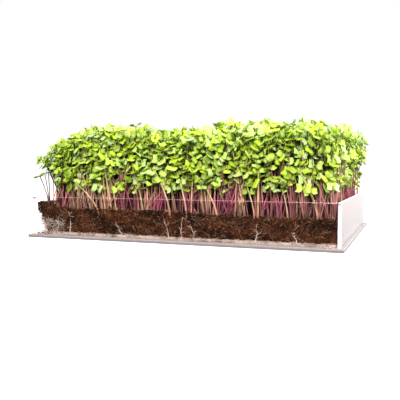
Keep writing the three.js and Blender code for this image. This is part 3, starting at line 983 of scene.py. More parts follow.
def leaf_template(name, columns, cup, ruffle, seed):
    """One seed leaf of length 1 along x from its stalk's foot, thin and closed."""
    bm = bmesh.new()
    bmesh.ops.create_grid(bm, x_segments=LEAF_ROWS, y_segments=columns, size=1.0)
    for vert in bm.verts:
        row = round((vert.co.x + 1) / 2 * LEAF_ROWS)
        a = vert.co.y
        if row < 2:
            u = LEAF_STALK * row
            v = a * (0.040 + 0.012 * row)
        else:
            share = ((row - 1) / (LEAF_ROWS - 1)) ** 0.9
            angle = a * LEAF_SWEEP
            reach = share * leaf_rim(angle) * (1 - LEAF_STALK)
            u = LEAF_STALK + reach * math.cos(angle)
            v = reach * math.sin(angle)
        wave = ruffle * noise.noise(Vector((u * 3.0, v * 3.0, seed)))
        h = cup * v * v - 0.16 * u * u + wave * min(1.0, u * 2)
        vert.co = (u, v, h)
    bmesh.ops.recalc_face_normals(bm, faces=bm.faces[:])
    bmesh.ops.solidify(bm, geom=bm.faces[:], thickness=LEAF_THICKNESS)
    mesh = template_of(name, bm)
    for face in mesh.polygons:
        face.material_index = 1
    return mesh


def strand_place(points, radius, taper=FIBRE_TAPER):
    """Bends a tube template along three points, thinner towards its end."""
    a, b, c = (Vector(point) for point in points)

    def middle(t):
        return a * (1 - t) * (1 - t) + b * 2 * t * (1 - t) + c * t * t

    start = (b - a).normalized()
    side = start.cross(Vector((0.31, 0.87, 0.38))).normalized()
    other = start.cross(side)

    def place(spot):
        t = clamp(spot[2], 0.0, 1.0)
        width = radius * (1 - taper * t)
        return middle(t) + side * (spot[0] * width) + other * (spot[1] * width)

    return place


def lump_place(centre, radii, turn):
    """Puts a template at a centre with three radii and a turn."""
    turned = Euler(turn).to_matrix().to_4x4()
    matrix = Matrix.Translation(centre) @ turned @ Matrix.Diagonal((*radii, 1.0))

    def place(spot):
        return matrix @ Vector(spot)

    return place


def build_sheet(node, settings):
    """A sheet of the tray with eased edges: material 0 on its faces, 1 on its ends and 2 on its rim."""
    low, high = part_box(node)
    bm = bmesh.new()
    bmesh.ops.create_cube(bm, size=1.0)
    thin = min(range(3), key=lambda axis: high[axis] - low[axis])
    bmesh.ops.scale(bm, verts=bm.verts[:], vec=[high[i] - low[i] - 2 * SHEET_GAP for i in range(3)])
    bmesh.ops.translate(bm, verts=bm.verts[:], vec=(low + high) / 2)
    bmesh.ops.bevel(
        bm, geom=bm.edges[:], offset=settings.easing, offset_type="OFFSET", segments=2, profile=0.5,
        affect="EDGES", material=-1, clamp_overlap=True,
    )
    for face in bm.faces:
        if abs(face.normal[thin]) < 0.9:
            face.material_index = 2 if abs(face.normal.z) > 0.3 else 1
    return bm


def next_layer(z, layer):
    """Height of the slab's side one layer below z; the last layer ends on the root mat."""
    if layer == SLAB_LAYERS:
        return MAT_TOP
    if layer == 1:
        return z - (z - MAT_TOP) / SLAB_LAYERS
    return MAT_TOP + (z - MAT_TOP) * (1 - 1 / (SLAB_LAYERS - layer + 2))


def build_soil_slab(settings):
    """The block of coir: a lumpy top, rough sides and a left end worn away towards its foot."""
    bm = bmesh.new()
    bmesh.ops.create_grid(bm, x_segments=SLAB_COLUMNS, y_segments=SLAB_ROWS, size=1.0)
    long_x = (SOIL_RIGHT - SOIL_LEFT) / 2
    long_y = (SOIL_BACK - SOIL_FRONT) / 2
    bmesh.ops.scale(bm, verts=bm.verts[:], vec=(long_x, long_y, 1.0))
    middle = ((SOIL_LEFT + SOIL_RIGHT) / 2, (SOIL_FRONT + SOIL_BACK) / 2, 0.0)
    bmesh.ops.translate(bm, verts=bm.verts[:], vec=middle)
    for vert in bm.verts:
        x, y = vert.co.x, vert.co.y
        lumps = noise.noise(Vector((x * 90, y * 90, 1.0)))
        lumps += 0.6 * noise.noise(Vector((x * 310, y * 310, 4.0)))
        vert.co.z = soil_skin_at(x) + settings.lump * lumps
    rim = [edge for edge in bm.edges if edge.is_boundary]
    for layer in range(1, SLAB_LAYERS + 1):
        made = bmesh.ops.extrude_edge_only(bm, edges=rim)["geom"]
        rim = [item for item in made if isinstance(item, bmesh.types.BMEdge)]
        for vert in (item for item in made if isinstance(item, bmesh.types.BMVert)):
            vert.co.z = next_layer(vert.co.z, layer)
    bmesh.ops.edgeloop_fill(bm, edges=rim)
    for vert in bm.verts:
        x, y, z = vert.co
        rough = 0.5 + 0.5 * noise.noise(Vector((x * 260, y * 260, z * 260)))
        rough += 0.35 * noise.noise(Vector((x * 700, y * 700, z * 700)))
        hollow = settings.roughness * max(rough, 0.0)
        if min(y - SOIL_FRONT, SOIL_BACK - y) < ON_EDGE:
            vert.co.y += math.copysign(hollow, -y)
        if min(x - SOIL_LEFT, SOIL_RIGHT - x) < ON_EDGE:
            vert.co.x += math.copysign(0.3 * hollow, -x)
        if z < soil_skin_at(x) - 0.001:
            near = 1 - smooth((x - SOIL_LEFT) / WORN_REACH)
            vert.co.x += soil_wear_at(x, y, z) * near
    bmesh.ops.recalc_face_normals(bm, faces=bm.faces[:])
    return bm


def face_spot(stream):
    """A place on the soil's skin, and the way that skin faces; the front gets about half of them."""
    pick = stream()
    if pick < FRONT_PICK:
        x = stream.between(SOIL_LEFT - 0.0008, SOIL_RIGHT)
        z = stream.between(MAT_TOP, soil_skin_at(x))
        x += soil_wear_at(x, SOIL_FRONT, z) * (1 - smooth((x - SOIL_LEFT) / WORN_REACH))
        return (x, SOIL_FRONT, z), (0.0, -1.0, 0.0)
    if pick < LEFT_PICK:
        y = stream.between(SOIL_FRONT, SOIL_BACK)
        z = stream.between(MAT_TOP, soil_skin_at(SOIL_LEFT))
        return (SOIL_LEFT + soil_wear_at(SOIL_LEFT, y, z), y, z), (-1.0, 0.0, 0.0)
    if pick < RIGHT_PICK:
        y = stream.between(SOIL_FRONT, SOIL_BACK)
        return (SOIL_RIGHT, y, stream.between(MAT_TOP, SOIL_TOP)), (1.0, 0.0, 0.0)
    x = stream.between(SOIL_LEFT, SOIL_RIGHT)
    if pick < BACK_PICK:
        return (x, SOIL_BACK, stream.between(MAT_TOP, soil_skin_at(x))), (0.0, 1.0, 0.0)
    y = stream.skewed(SOIL_FRONT, SOIL_BACK - SOIL_FRONT, 2.2)
    return (x, y, soil_skin_at(x)), (0.0, 0.0, 1.0)


def add_fibres(stamps, count, stream):
    """Loose coir fibres that lie on the soil's skin, each bent a little."""
    fibre = tube_template("fibre_template", 3, 3)
    for _ in range(count):
        spot, facing = face_spot(stream)
        length = stream.skewed(*FIBRE_LENGTHS)
        turn = 2 * math.pi * stream()
        if facing[2]:
            step = (math.cos(turn), 0.6 * math.sin(turn), 0.35 * stream())
        elif facing[1]:
            step = (math.cos(turn), 0.0, 0.7 * math.sin(turn))
        else:
            step = (0.0, math.cos(turn), 0.7 * math.sin(turn))
        start = added(spot, facing, stream.between(-0.0002, 0.0007))
        points = [start]
        for half in (1, 2):
            bend = stream.offsets(0.0016, 0.0005, 0.0016)
            points.append(added(added(start, step, length * half / 2), bend))
        points = [kept_in_tray(point, FIBRE_GAP) for point in points]
        radius = stream.between(*FIBRE_RADII)
        stamps.add(fibre, strand_place(points, radius), tone=stream())


def add_crumbs(stamps, pebbles, count, stream):
    """Loose crumbs on the soil's skin."""
    for _ in range(count):
        spot, facing = face_spot(stream)
        size = stream.skewed(*CRUMB_SIZES)
        radii = [size * stream.between(*span) for span in CRUMB_SHAPE]
        centre = kept_in_tray(added(spot, facing, stream.between(-0.0004, 0.0003)), size * 1.1)
        turn = stream.offsets(0.6, 3.0, 0.6)
        pebble = stream.pick(pebbles)
        stamps.add(pebble, lump_place(centre, radii, turn), tone=0.8 * stream())


def add_fallen_crumbs(stamps, pebbles, stream):
    """Crumbs that cling to the worn left corner, and those that have fallen from it onto the base."""
    for _ in range(CORNER_CRUMBS):
        y = stream.skewed(SOIL_FRONT, 0.06, 2)
        z = soil_skin_at(SOIL_LEFT) - stream.between(0.0005, 0.011)
        x = SOIL_LEFT + soil_wear_at(SOIL_LEFT, y, z) - stream.between(0.0, 0.0022)
        size = stream.between(*CORNER_CRUMB_SIZES)
        pebble = stream.pick(pebbles)
        centre = kept_in_tray((x, y, z), size * 1.3)
        place = lump_place(centre, (size * 1.2, size, size * 0.9), stream.offsets(3.0, 3.0, 3.0))
        stamps.add(pebble, place, tone=0.6 * stream())
    for _ in range(BASE_CRUMBS):
        x = stream.skewed(SOIL_LEFT, 0.013, 1.4)
        y = stream.skewed(SOIL_FRONT, 0.09, 1.8)
        size = stream.between(*BASE_CRUMB_SIZES)
        centre = kept_in_tray((x, y, SHEET + size * 0.8), size * 1.1)
        pebble = stream.pick(pebbles)
        turn = (0.0, 0.0, stream.centred(3.0))
        stamps.add(pebble, lump_place(centre, (size, size, size * 0.8), turn), tone=0.4)


def build_soil_litter(settings):
    """Loose coir fibres and crumbs on every side of the block, kept inside the tray."""
    stream = Stream(LITTER_SEED)
    stamps = Stamps("tone")
    pebbles = [pebble_template(f"crumb_template_{i}", 7.3 * i) for i in range(3)]
    add_fibres(stamps, settings.fibres, stream)
    add_crumbs(stamps, pebbles, settings.crumbs, stream)
    add_fallen_crumbs(stamps, pebbles, stream)
    return stamps


def kept_in_tray(point, margin):
    """The point, moved clear of the walls and the floor."""
    return (
        clamp(point[0], -INNER_X + margin, INNER_X - margin),
        clamp(point[1], -INNER_Y + margin, INNER_Y - margin),
        max(point[2], SHEET + margin),
    )


def build_root_slab():
    """The felt of roots under the soil, with an uneven edge."""
    low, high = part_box("root_mat")
    front, back = low.y + 0.0004, high.y - 0.0002
    bm = bmesh.new()
    bmesh.ops.create_grid(bm, x_segments=FELT_COLUMNS, y_segments=FELT_ROWS, size=1.0)
    half_x = (FELT_RIGHT - FELT_LEFT) / 2
    half_y = (back - front) / 2
    bmesh.ops.scale(bm, verts=bm.verts[:], vec=(half_x, half_y, 1.0))
    middle = ((FELT_LEFT + FELT_RIGHT) / 2, (front + back) / 2, MAT_TOP)
    bmesh.ops.translate(bm, verts=bm.verts[:], vec=middle)
    for _ in range(FELT_LAYERS):
        rim = [edge for edge in bm.edges if edge.is_boundary]
        made = bmesh.ops.extrude_edge_only(bm, edges=rim)["geom"]
        points = [item for item in made if isinstance(item, bmesh.types.BMVert)]
        bmesh.ops.translate(bm, verts=points, vec=(0.0, 0.0, -(MAT_TOP - SHEET) / FELT_LAYERS))
    bmesh.ops.edgeloop_fill(bm, edges=[edge for edge in bm.edges if edge.is_boundary])
    for vert in bm.verts:
        x, y, z = vert.co
        rough = noise.noise(Vector((x * 180, y * 180, z * 400)))
        rough += 0.5 * noise.noise(Vector((x * 600, y * 600, z * 900)))
        if min(x - FELT_LEFT, FELT_RIGHT - x) < ON_EDGE:
            vert.co.x += math.copysign(0.0009 * (1 + rough), -x)
        if min(y - front, back - y) < ON_EDGE:
            vert.co.y += math.copysign(0.0005 * (1 + rough), -y)
        if z > MAT_TOP - 0.0002:
            vert.co.z += 0.0005 * rough
    bmesh.ops.recalc_face_normals(bm, faces=bm.faces[:])
    return bm


def add_climbing_roots(stamps, thick, thin, stream):
    """Roots that climb the soil behind the front wall, with fine ones that branch off."""
    for x, top, lean in STRANDS:
        at = (x, ROOT_Y, MAT_TOP - 0.001)
        drift = 0.0
        for step in range(1, STRAND_STEPS + 1):
            share = step / STRAND_STEPS
            drift = 0.6 * drift + stream.centred(0.0009)
            depth = max(0.0, stream.between(-0.0008, 0.0013))
            end = (x + lean * share + drift, ROOT_Y + depth, MAT_TOP + (top - MAT_TOP) * share)
            bow = tuple((at[i] + end[i]) / 2 + stream.centred(0.0003) for i in range(3))
            stamps.add(thick, strand_place((at, bow, end), STRAND_RADIUS * (1.1 - 0.6 * share), 0.1))
            if step < STRAND_STEPS and stream() < BRANCH_SHARE:
                reach = stream.between(0.0015, 0.0045)
                side = -1 if stream() < 0.5 else 1
                tip_z = end[2] + reach * stream.between(-0.2, 1.3)
                tip = (end[0] + side * reach, ROOT_Y + 0.0006, tip_z)
                bend_z = (end[2] + tip[2]) / 2 + stream.centred(0.0008)
                bend = ((end[0] + tip[0]) / 2, ROOT_Y + 0.0002, bend_z)
                stamps.add(thin, strand_place((end, bend, tip), BRANCH_RADIUS, 0.4))
            at = end


def add_fine_root(stamps, thin, points, taper, stream):
    """Adds one fine root along three points, kept inside the tray."""
    points = [kept_in_tray(point, FINE_ROOT_GAP) for point in points]
    stamps.add(thin, strand_place(points, stream.between(*FINE_ROOT_RADII), taper))


def add_root_fringe(stamps, thin, count, stream):
    """Short roots that stick out along the foot of the front."""
    for _ in range(count):
        x = stream.between(*FRINGE_SPAN)
        y = ROOT_Y + stream.between(-0.0001, 0.0003)
        length = stream.skewed(*FRINGE_LENGTHS)
        lean = stream.centred(1.6)
        z = MAT_TOP + stream.between(-0.0018, 0.0006)
        tip = (x + length * lean, y, z + length * (0.02 + 0.28 * stream()))
        bend = ((x + tip[0]) / 2, y, (z + tip[2]) / 2 + stream.centred(0.0012))
        add_fine_root(stamps, thin, ((x, y, z), bend, tip), 0.5, stream)


def add_root_web(stamps, thin, count, stream):
    """Fine roots over the worn left corner: first along its front, then down its left side."""
    y = ROOT_Y + 0.0002
    for _ in range(count):
        x = stream.skewed(WEB_LEFT, WEB_LENGTH, 1.2)
        z = stream.skewed(MAT_TOP, WEB_FRONT_HEIGHT, 1.1)
        x = max(x, SOIL_LEFT + soil_wear_at(x, SOIL_FRONT, z))
        turn = math.pi * stream()
        length = stream.between(0.002, 0.006)
        tip = (x + length * math.cos(turn), y, z + 0.6 * length * math.sin(turn))
        bend = (x + stream.centred(0.003), y, (z + tip[2]) / 2 + stream.centred(0.002))
        add_fine_root(stamps, thin, ((x, y, z), bend, tip), 0.4, stream)
    for _ in range(count):
        y = stream.between(SOIL_FRONT, WEB_BACK)
        z = stream.skewed(MAT_TOP, WEB_SIDE_HEIGHT, 1.2)
        x = SOIL_LEFT + soil_wear_at(SOIL_LEFT, y, z) - 0.0002
        length = stream.between(0.003, 0.008)
        lean = stream.centred(1.0)
        tip = (x - stream.between(0.0, 0.002), y + length * lean, z - 0.4 * length)
        bend = (x - 0.001, (y + tip[1]) / 2, (z + tip[2]) / 2 + stream.centred(0.002))
        add_fine_root(stamps, thin, ((x, y, z), bend, tip), 0.4, stream)


def build_root_strands(settings):
    """Roots that climb behind the clear wall, the fringe along the foot and the web at the worn end."""
    stream = Stream(ROOT_SEED)
    stamps = Stamps()
    thick = tube_template("root_template", 5, 6)
    thin = tube_template("fine_root_template", 3, 4)
    add_climbing_roots(stamps, thick, thin, stream)
    add_root_fringe(stamps, thin, settings.fringe, stream)
    add_root_web(stamps, thin, settings.web, stream)
    return stamps


@dataclass
class Growth:
    """How one sprout looks in the scene: its leaves' length, its stem, its tints and its stem's bend."""

    sprout: Sprout
    leaf_length: float
    stem_radius: float
    pink: float
    # How far the stem is darkened: at random, and as painted shade far from the walls
    tone: float
    leaf_tone: float
    bend: float = STEM_BEND


def pinkness(x, y, stream):
    """Share of pink in a stem, by groups at the front and by patches further back."""
    group = max(
        share * (1 - smooth((abs(x - middle) - half) / PINK_FADE)) for middle, half, share in PINK_GROUPS
    )
    patch = clamp(0.5 + 1.3 * noise.noise(Vector((x * 30, y * 30, 2.0))), 0, 1)
    front = 1 - smooth((y + INNER_Y) / PINK_DEPTH)
    share = group * front + patch * (1 - front)
    return clamp(0.15 + 0.85 * share + stream.centred(0.2), 0, 1)


def crest_at(x, y):
    """How much the canopy rises or dips here, most at the front."""
    front = 1 - smooth((y + INNER_Y) / CREST_DEPTH)
    return front * sum(rise * math.exp(-(((x - middle) / half) ** 2)) for middle, half, rise in CREST)


def highest_fill(x, y):
    """Highest head of a finer sprout: the front corners are rounded off."""
    inward = y + INNER_Y
    left = LEFT_CORNER_TOP + 0.5 * (x + INNER_X) + 0.4 * inward
    right = RIGHT_CORNER_TOP + 0.5 * max(0.0, RIGHT_CORNER_X - x) + 0.3 * inward
    return min(left, right)


def draw_fill(bunch, clusters, stream):
    """One of the finer sprouts that fill a bunch, rooted in one of its clusters or, at times, astray."""
    front = bunch < BUNCH_COLUMNS
    spot = stream.pick(clusters)
    spread = FRONT_CLUSTER_SPREAD if front else CLUSTER_SPREAD
    x = clamp(spot[0] + stream.centred(spread), ROOTS_LEFT, ROOTS_RIGHT)
    y = clamp(spot[1] + stream.centred(spread), ROOTS_FRONT, ROOTS_BACK)
    head = draw_head(bunch, stream, HEAD_SPREAD, FRONT_DEPTH_POWER if front else FILL_DEPTH_POWER)
    if front and stream() < STRAY_SHARE:
        x = clamp(head[0] + stream.between(0.002, 0.013), ROOTS_LEFT, ROOTS_RIGHT)
        y = SOIL_FRONT + stream.between(0.001, 0.005)
    z = head[2] + stream.between(*HEAD_UNEVENNESS) + crest_at(head[0], head[1])
    z = min(z, highest_fill(head[0], head[1]) - stream.between(0.0, 0.006))
    over = stream.between(0.0, OVERHANG)
    leans_out = abs(head[0]) > OVERHANG_X and z > OVERHANG_Z
    side = math.copysign(over, head[0]) if leans_out else 0.0
    head = (head[0] + side, head[1], z)
    return finish_sprout(bunch, (x, y, soil_top_at(x) - ROOT_SINK), head, stream, FILL_FACING)


def draw_low(bunch, stream):
    """A short sprout that leans out under the canopy, over the front rim or at the right end."""
    middle_x, middle_y = cell_middle(bunch)
    reach_x, reach_y = cell_reach()
    if bunch < BUNCH_COLUMNS:
        x = clamp(middle_x + stream.centred(1.1 * reach_x), SOIL_LEFT + 0.021, INNER_X)
        head = (x, -INNER_Y + stream.between(-0.001, 0.014), stream.between(*LOW_FRONT_HEIGHTS))
        root_x = clamp(x + stream.between(-0.006, 0.016), SOIL_LEFT + 0.010, SOIL_RIGHT - 0.003)
        root_y = SOIL_FRONT + stream.between(0.001, 0.009)
    else:
        y = middle_y + stream.centred(1.1 * reach_y)
        head = (INNER_X - stream.between(0.004, 0.018), y, stream.between(*LOW_RIGHT_HEIGHTS))
        root_x = SOIL_RIGHT - stream.between(0.004, 0.014)
        root_y = clamp(head[1] + stream.centred(0.010), SOIL_FRONT + 0.002, SOIL_BACK - 0.002)
    root = (root_x, root_y, soil_top_at(root_x) - ROOT_SINK)
    return finish_sprout(bunch, root, head, stream, LOW_FACING)


def fill_samples(sprout, leaf_length):
    """Sample points that keep the finer leaves apart."""
    for side in (1, -1):
        for u, v in FILL_SAMPLES:
            yield sprout.leaf_point(side, u * leaf_length, v * leaf_length * FILL_LEAF_WIDTH)


def root_clusters(bunch, stream):
    """Spots where a bunch's finer sprouts spring from; the front row's are given, but it draws too."""
    middle_x, middle_y = cell_middle(bunch)
    reach_x, reach_y = (CLUSTER_REACH * reach for reach in cell_reach())
    clusters = [
        (middle_x + stream.centred(reach_x), middle_y + stream.centred(reach_y)) for _ in range(CLUSTERS)
    ]
    if bunch >= BUNCH_COLUMNS:
        return clusters
    near = [x for x in FRONT_CLUSTERS if abs(x - middle_x) < cell_reach()[0]]
    return [(x, SOIL_FRONT + step) for x in near for step in FRONT_CLUSTER_STEPS]


def solid_growths(bunches, settings, stream):
    """The solids' sprouts in finer form, each with its bunch."""
    for bunch, sprouts in enumerate(bunches):
        for sprout in sprouts:
            length = settings.leaf_length * sprout.size
            kept = replace(sprout, root=(*sprout.root[:2], HOLE_FLOOR), size=1.0)
            yield grown(kept, length, settings.stem_radius * SOLID_THICKNESS, stream), bunch


def front_growths(stream):
    """The stems that stand out at the front, each with its bunch."""
    for root_x, head_x, head_z, radius, cream in FRONT_STEMS:
        column = int((root_x + INNER_X) / (2 * INNER_X) * BUNCH_COLUMNS)
        y = SOIL_FRONT + stream.between(0.0006, 0.0025)
        root = (root_x, y, soil_top_at(root_x) - FRONT_STEM_SINK)
        head = (head_x, y + stream.between(0.0, 0.004), head_z)
        sprout = finish_sprout(column, root, head, stream, FRONT_FACING)
        leftmost = head_x < LEFT_STEMS_X
        length = LEFT_STEM_LEAF if leftmost else FRONT_STEM_LEAF
        tone = LEFT_STEM_DULLNESS if leftmost else 0.0
        yield Growth(sprout, length, radius, clamp(1 - cream, 0, 1), tone, stream()), column


def has_room(sprout, samples, box, taken):
    """True if a finer sprout's leaves clear the rim, the bare corner and other leaves, and stay in reach."""
    low, high = box
    if any(point[2] < RIM_Z + RIM_CLEARANCE or not in_reach(point, low, high) for point in samples):
        return False
    if sprout.bunch < BUNCH_COLUMNS and sprout.head[0] < BARE_CORNER_X and sprout.head[2] < BARE_CORNER_Z:
        return False
    return not any(taken.blocks(point, sprout.bunch, False) for point in samples)


def fill_growths(bunch, taken, settings, stream):
    """The finer sprouts that fill one bunch; the front row and the right end start with low ones."""
    row, column = divmod(bunch, BUNCH_COLUMNS)
    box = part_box(f"sprouts_{grid_name(bunch)}")
    clusters = root_clusters(bunch, stream)
    low_ones = LOW_FILL if row == 0 or column == BUNCH_COLUMNS - 1 else 0
    for number in range(low_ones + FILL_BY_ROW[row]):
        for _ in range(FILL_TRIES):
            sprout = draw_low(bunch, stream) if number < low_ones else draw_fill(bunch, clusters, stream)
            sprout.size = 1.0
            length = settings.fill_leaf_length * stream.between(*FILL_SIZES)
            samples = list(fill_samples(sprout, length))
            if has_room(sprout, samples, box, taken):
                for point in samples:
                    taken.add(point, bunch, False)
                radius = settings.stem_radius * stream.between(*FILL_THICKNESS)
                yield grown(sprout, length, radius, stream, FRONT_BEND if row == 0 else STEM_BEND)
                break


def fill_bunches(bunches, settings):
    """Every bunch's growths: its solid sprouts in finer form, the front stems, then the fill."""
    stream = Stream(FILL_SEED)
    taken = TakenSpace(FILL_CLEARANCE)
    growths = [[] for _ in bunches]
    for source in (solid_growths(bunches, settings, stream), front_growths(stream)):
        for growth, bunch in source:
            growths[bunch].append(growth)
            for point in fill_samples(growth.sprout, growth.leaf_length):
                taken.add(point, bunch, False)
    for bunch, group in enumerate(growths):
        group.extend(fill_growths(bunch, taken, settings, stream))
    return growths


def in_reach(point, low, high):
    """True if a point is within the margin of its node's box and inside the part's box."""
    near = all(low[i] - NODE_MARGIN < point[i] < high[i] + NODE_MARGIN for i in range(3))
    return near and all(CAD_BOX[0][i] < point[i] < CAD_BOX[1][i] for i in range(3))


def grown(sprout, length, radius, stream, bend=STEM_BEND):
    """A growth with its tints: a stem is darker at random, and takes painted shade the further it stands
    from the walls.
    """
    x, y = sprout.root[:2]
    pink = pinkness(x, y, stream)
    shade = smooth((edge_distance(x, y) - SHADE_FROM) / SHADE_WIDTH)
    tone = max(stream.skewed(0.0, 0.97, 1.1), shade)
    return Growth(sprout, length, radius, pink, tone, stream(), bend)


def stem_place(growth):
    """Bends the tube template along a stem, a little thicker at the foot."""
    sprout = growth.sprout
    root, head = sprout.root, sprout.head
    span = (head[0] - root[0], head[1] - root[1], head[2] - root[2])
    radius = growth.stem_radius

    def place(spot):
        share = spot[2]
        lean = share ** growth.bend
        width = radius * (1.15 - 0.35 * share)
        return (
            root[0] + span[0] * lean + spot[0] * width,
            root[1] + span[1] * lean + spot[1] * width,
            root[2] + span[2] * share,
        )

    return place


def leaf_place(growth, side, lift):
    """Puts a leaf template on one side of a head."""
    sprout = growth.sprout
    frame_rows = tuple(zip(sprout.head, sprout.along, sprout.across, sprout.facing))
    length = growth.leaf_length
    run = side * math.cos(lift) * length
    climb = math.sin(lift) * length
    width = side * length

    def place(spot):
        u, v, h = spot
        rise = u * climb + h * length
        return [
            head + along * u * run + across * v * width + facing * rise
            for head, along, across, facing in frame_rows
        ]

    return place


def build_bunch(growths, stems, leaves, inside, stream):
    """The mesh of one bunch; the leaves and stems inside the block have fewer faces."""
    stamps = Stamps("share", "pink", "tone")
    for growth in growths:
        place = stem_place(growth)
        stamps.add(stems[inside], place, share=lambda spot: spot[2], pink=growth.pink, tone=growth.tone)
        for side in (1, -1):
            lift = growth.sprout.lift + stream.centred(0.15)
            leaf = stream.pick(leaves[inside])
            tone = clamp(growth.leaf_tone + stream.centred(0.12), 0, 1)
            place = leaf_place(growth, side, lift)
            stamps.add(leaf, place, share=lambda spot: spot[0], pink=0.0, tone=tone)
    return stamps


def check_bunches(bunches):
    """Raises an error if a bunch's leaves reach out of its solid's box, or its heads are too low or high."""
    for bunch, sprouts in enumerate(bunches):
        name = f"sprouts_{grid_name(bunch)}"
        low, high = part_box(name)
        points = [sprout.leaf_point(side, LEAF_LENGTH, 0.0) for sprout in sprouts for side in (1, -1)]
        for axis in range(3):
            reach = [point[axis] for point in points]
            if min(reach) < low[axis] - LEAF_TOLERANCE or max(reach) > high[axis] + LEAF_TOLERANCE:
                raise ValueError(f"{name} isn't where the packed solid is")
        tops = max(sprout.head[2] for sprout in sprouts)
        if not high[2] - HEAD_BELOW < tops < high[2] + HEAD_ABOVE:
            raise ValueError(f"{name} isn't as tall as the packed solid")


def add_husk(stamps, husk, centre, size, turn):
    """Adds one seed coat, a little longer than it is wide."""
    stamps.add(husk, lump_place(centre, (size * 1.25, size, size * 0.9), turn))


def build_husks(settings, bunches):
    """Seed coats on the soil's front edge and on leaves here and there."""
    stream = Stream(HUSK_SEED)
    stamps = Stamps()
    husk = husk_template("husk_template")
    for _ in range(settings.on_soil):
        x = stream.between(SOIL_LEFT + 0.01, SOIL_RIGHT - 0.004)
        y = stream.skewed(SOIL_FRONT + 0.001, 0.02, 2)
        size = stream.between(0.0009, 0.0016)
        centre = (x, y, soil_skin_at(x) + size * 0.4)
        add_husk(stamps, husk, centre, size, stream.offsets(1.2, 1.2, 3.1))
    for sprouts in bunches:
        for sprout in sprouts:
            if stream() < settings.on_leaves:
                centre = added(sprout.leaf_point(1, 0.006, 0.002), sprout.facing, 0.0008)
                size = stream.between(0.0008, 0.0013)
                add_husk(stamps, husk, centre, size, stream.offsets(1.0, 1.0, 3.1))
    return stamps


def add_camera():
    """The photograph's camera."""
    data = bpy.data.cameras.new("photo_camera")
    data.sensor_width = SENSOR_MM
    data.lens = FOCAL_PIXELS / IMAGE_PIXELS * SENSOR_MM
    data.clip_start = 0.01
    camera = bpy.data.objects.new("photo_camera", data)
    camera.location = CAMERA_PLACE
    camera.rotation_euler = (math.radians(90 - CAMERA_PITCH), 0.0, math.radians(CAMERA_AZIMUTH))
    bpy.context.scene.collection.objects.link(camera)
    bpy.context.scene.camera = camera


def add_softbox(name, place, size, power):
    """A square softbox that faces the tray."""
    data = bpy.data.lights.new(name, "AREA")
    data.shape = "SQUARE"
    data.size = size
    data.energy = power
    lamp = bpy.data.objects.new(name, data)
    lamp.location = place
    lamp.rotation_euler = (Vector(SOFTBOX_AIM) - Vector(place)).to_track_quat("-Z", "Y").to_euler()
    bpy.context.scene.collection.objects.link(lamp)


def add_backdrop(settings):
    """White all round as the camera sees it, and dim low at the front so the front wall stays clear."""
    world = bpy.data.worlds.new("studio")
    bpy.context.scene.world = world
    paint = Paint(world)
    toward = paint.node("ShaderNodeTexCoord", output="Generated")
    bright = paint.axis(toward, 1).rise(-0.55, 0.15).highest(paint.axis(toward, 2).rise(0.25, 0.7))
    seen = paint.node("ShaderNodeLightPath", output="Is Camera Ray")
    shiny = paint.node("ShaderNodeLightPath", output="Is Glossy Ray")
    fill = shiny * (1 - settings.fill) + settings.fill
    lit = (bright * (1 - settings.front_dim) + settings.front_dim) * fill
    inputs = {"Color": (1.0, 1.0, 1.0, 1.0), "Strength": seen.highest(lit) * settings.backdrop}
    paint.finish(paint.node("ShaderNodeBackground", None, inputs))


def sized(name, description, default):
    """A length that a user may change."""
    return FloatProperty(name=name, description=description, default=default, unit="LENGTH", precision=5)


def counted(name, description, default):
    """A count that a user may change."""
    return IntProperty(name=name, description=description, default=default, min=0)


def powered(name, description, default):
    """A strength of light that a user may change."""
    return FloatProperty(name=name, description=description, default=default, min=0.0)


def shared(name, description, default):
    """A share from 0 to 1 that a user may change."""
    return FloatProperty(name=name, description=description, default=default, min=0.0, max=1.0)


def coloured(name, description, default):
    """A linear colour that a user may change."""
    return FloatVectorProperty(
        name=name, description=description, default=default, subtype="COLOR", size=3, min=0.0, max=1.0,
    )


class TraySettings(bpy.types.PropertyGroup):
    """Sizes and colours of the tray."""

    easing: sized("Edge easing", "How far the sheets' edges are eased", 0.0003)
    tint: coloured("Tint", "Colour that the clear sheets take from light", (1.0, 0.985, 0.985))
    milk: coloured("Milkiness", "Colour of the light that a wiped face scatters", (0.68, 0.50, 0.49))
    low_milk: coloured("Low milkiness", "The same near the foot and in the wipe marks", (0.36, 0.27, 0.28))
    edge: coloured("Edge", "Colour of the sawn edges", (0.96, 0.90, 0.89))
    base_edge: coloured("Base edge", "Colour of the base's sawn edges", (0.50, 0.42, 0.40))
    # Painted contact shadow along the foot of the base's edges
    base_foot_shadow: coloured("Base foot", "Colour of the foot of the base's edges", (0.25, 0.22, 0.23))
    rim: coloured("Rim", "Colour of the tops of the front and back walls", (0.55, 0.40, 0.36))
    # Painted glow: how strongly the walls' sawn edges give off their colour as light
    edge_glow: powered("Edge glow", "Light that the walls' edges give off", 0.28)
    haze: shared("Side haze", "Share of light that the wiped side wall scatters", 0.58)


class SoilSettings(bpy.types.PropertyGroup):
    """Sizes and colours of the coir block."""

    lump: sized("Lumps", "Height of the lumps on top", 0.0013)
    roughness: sized("Side roughness", "Depth of the hollows in the sides", 0.0020)
    fibres: counted("Fibres", "Number of loose coir fibres", 2300)
    crumbs: counted("Crumbs", "Number of loose crumbs", 2700)
    dark: coloured("Dark brown", "Colour of damp coir", (0.050, 0.016, 0.006))
    reddish: coloured("Reddish brown", "Colour of drier coir", (0.26, 0.085, 0.028))
    black: coloured("Black", "Colour of the darkest grains", (0.008, 0.003, 0.0015))
    fleck: coloured("Flecks", "Colour of the pale flecks", (0.42, 0.29, 0.20))
    fibre: coloured("Fibre", "Colour of single fibres", (0.50, 0.31, 0.20))


class RootSettings(bpy.types.PropertyGroup):
    """Counts and colours of the roots."""

    fringe: counted("Fringe", "Number of short roots along the foot", 420)
    web: counted("Web", "Number of fine roots at the worn end", 190)
    cream: coloured("Cream", "Colour of fresh roots", (0.80, 0.67, 0.56))
    stained: coloured("Stained", "Colour of roots stained by the soil", (0.20, 0.125, 0.08))


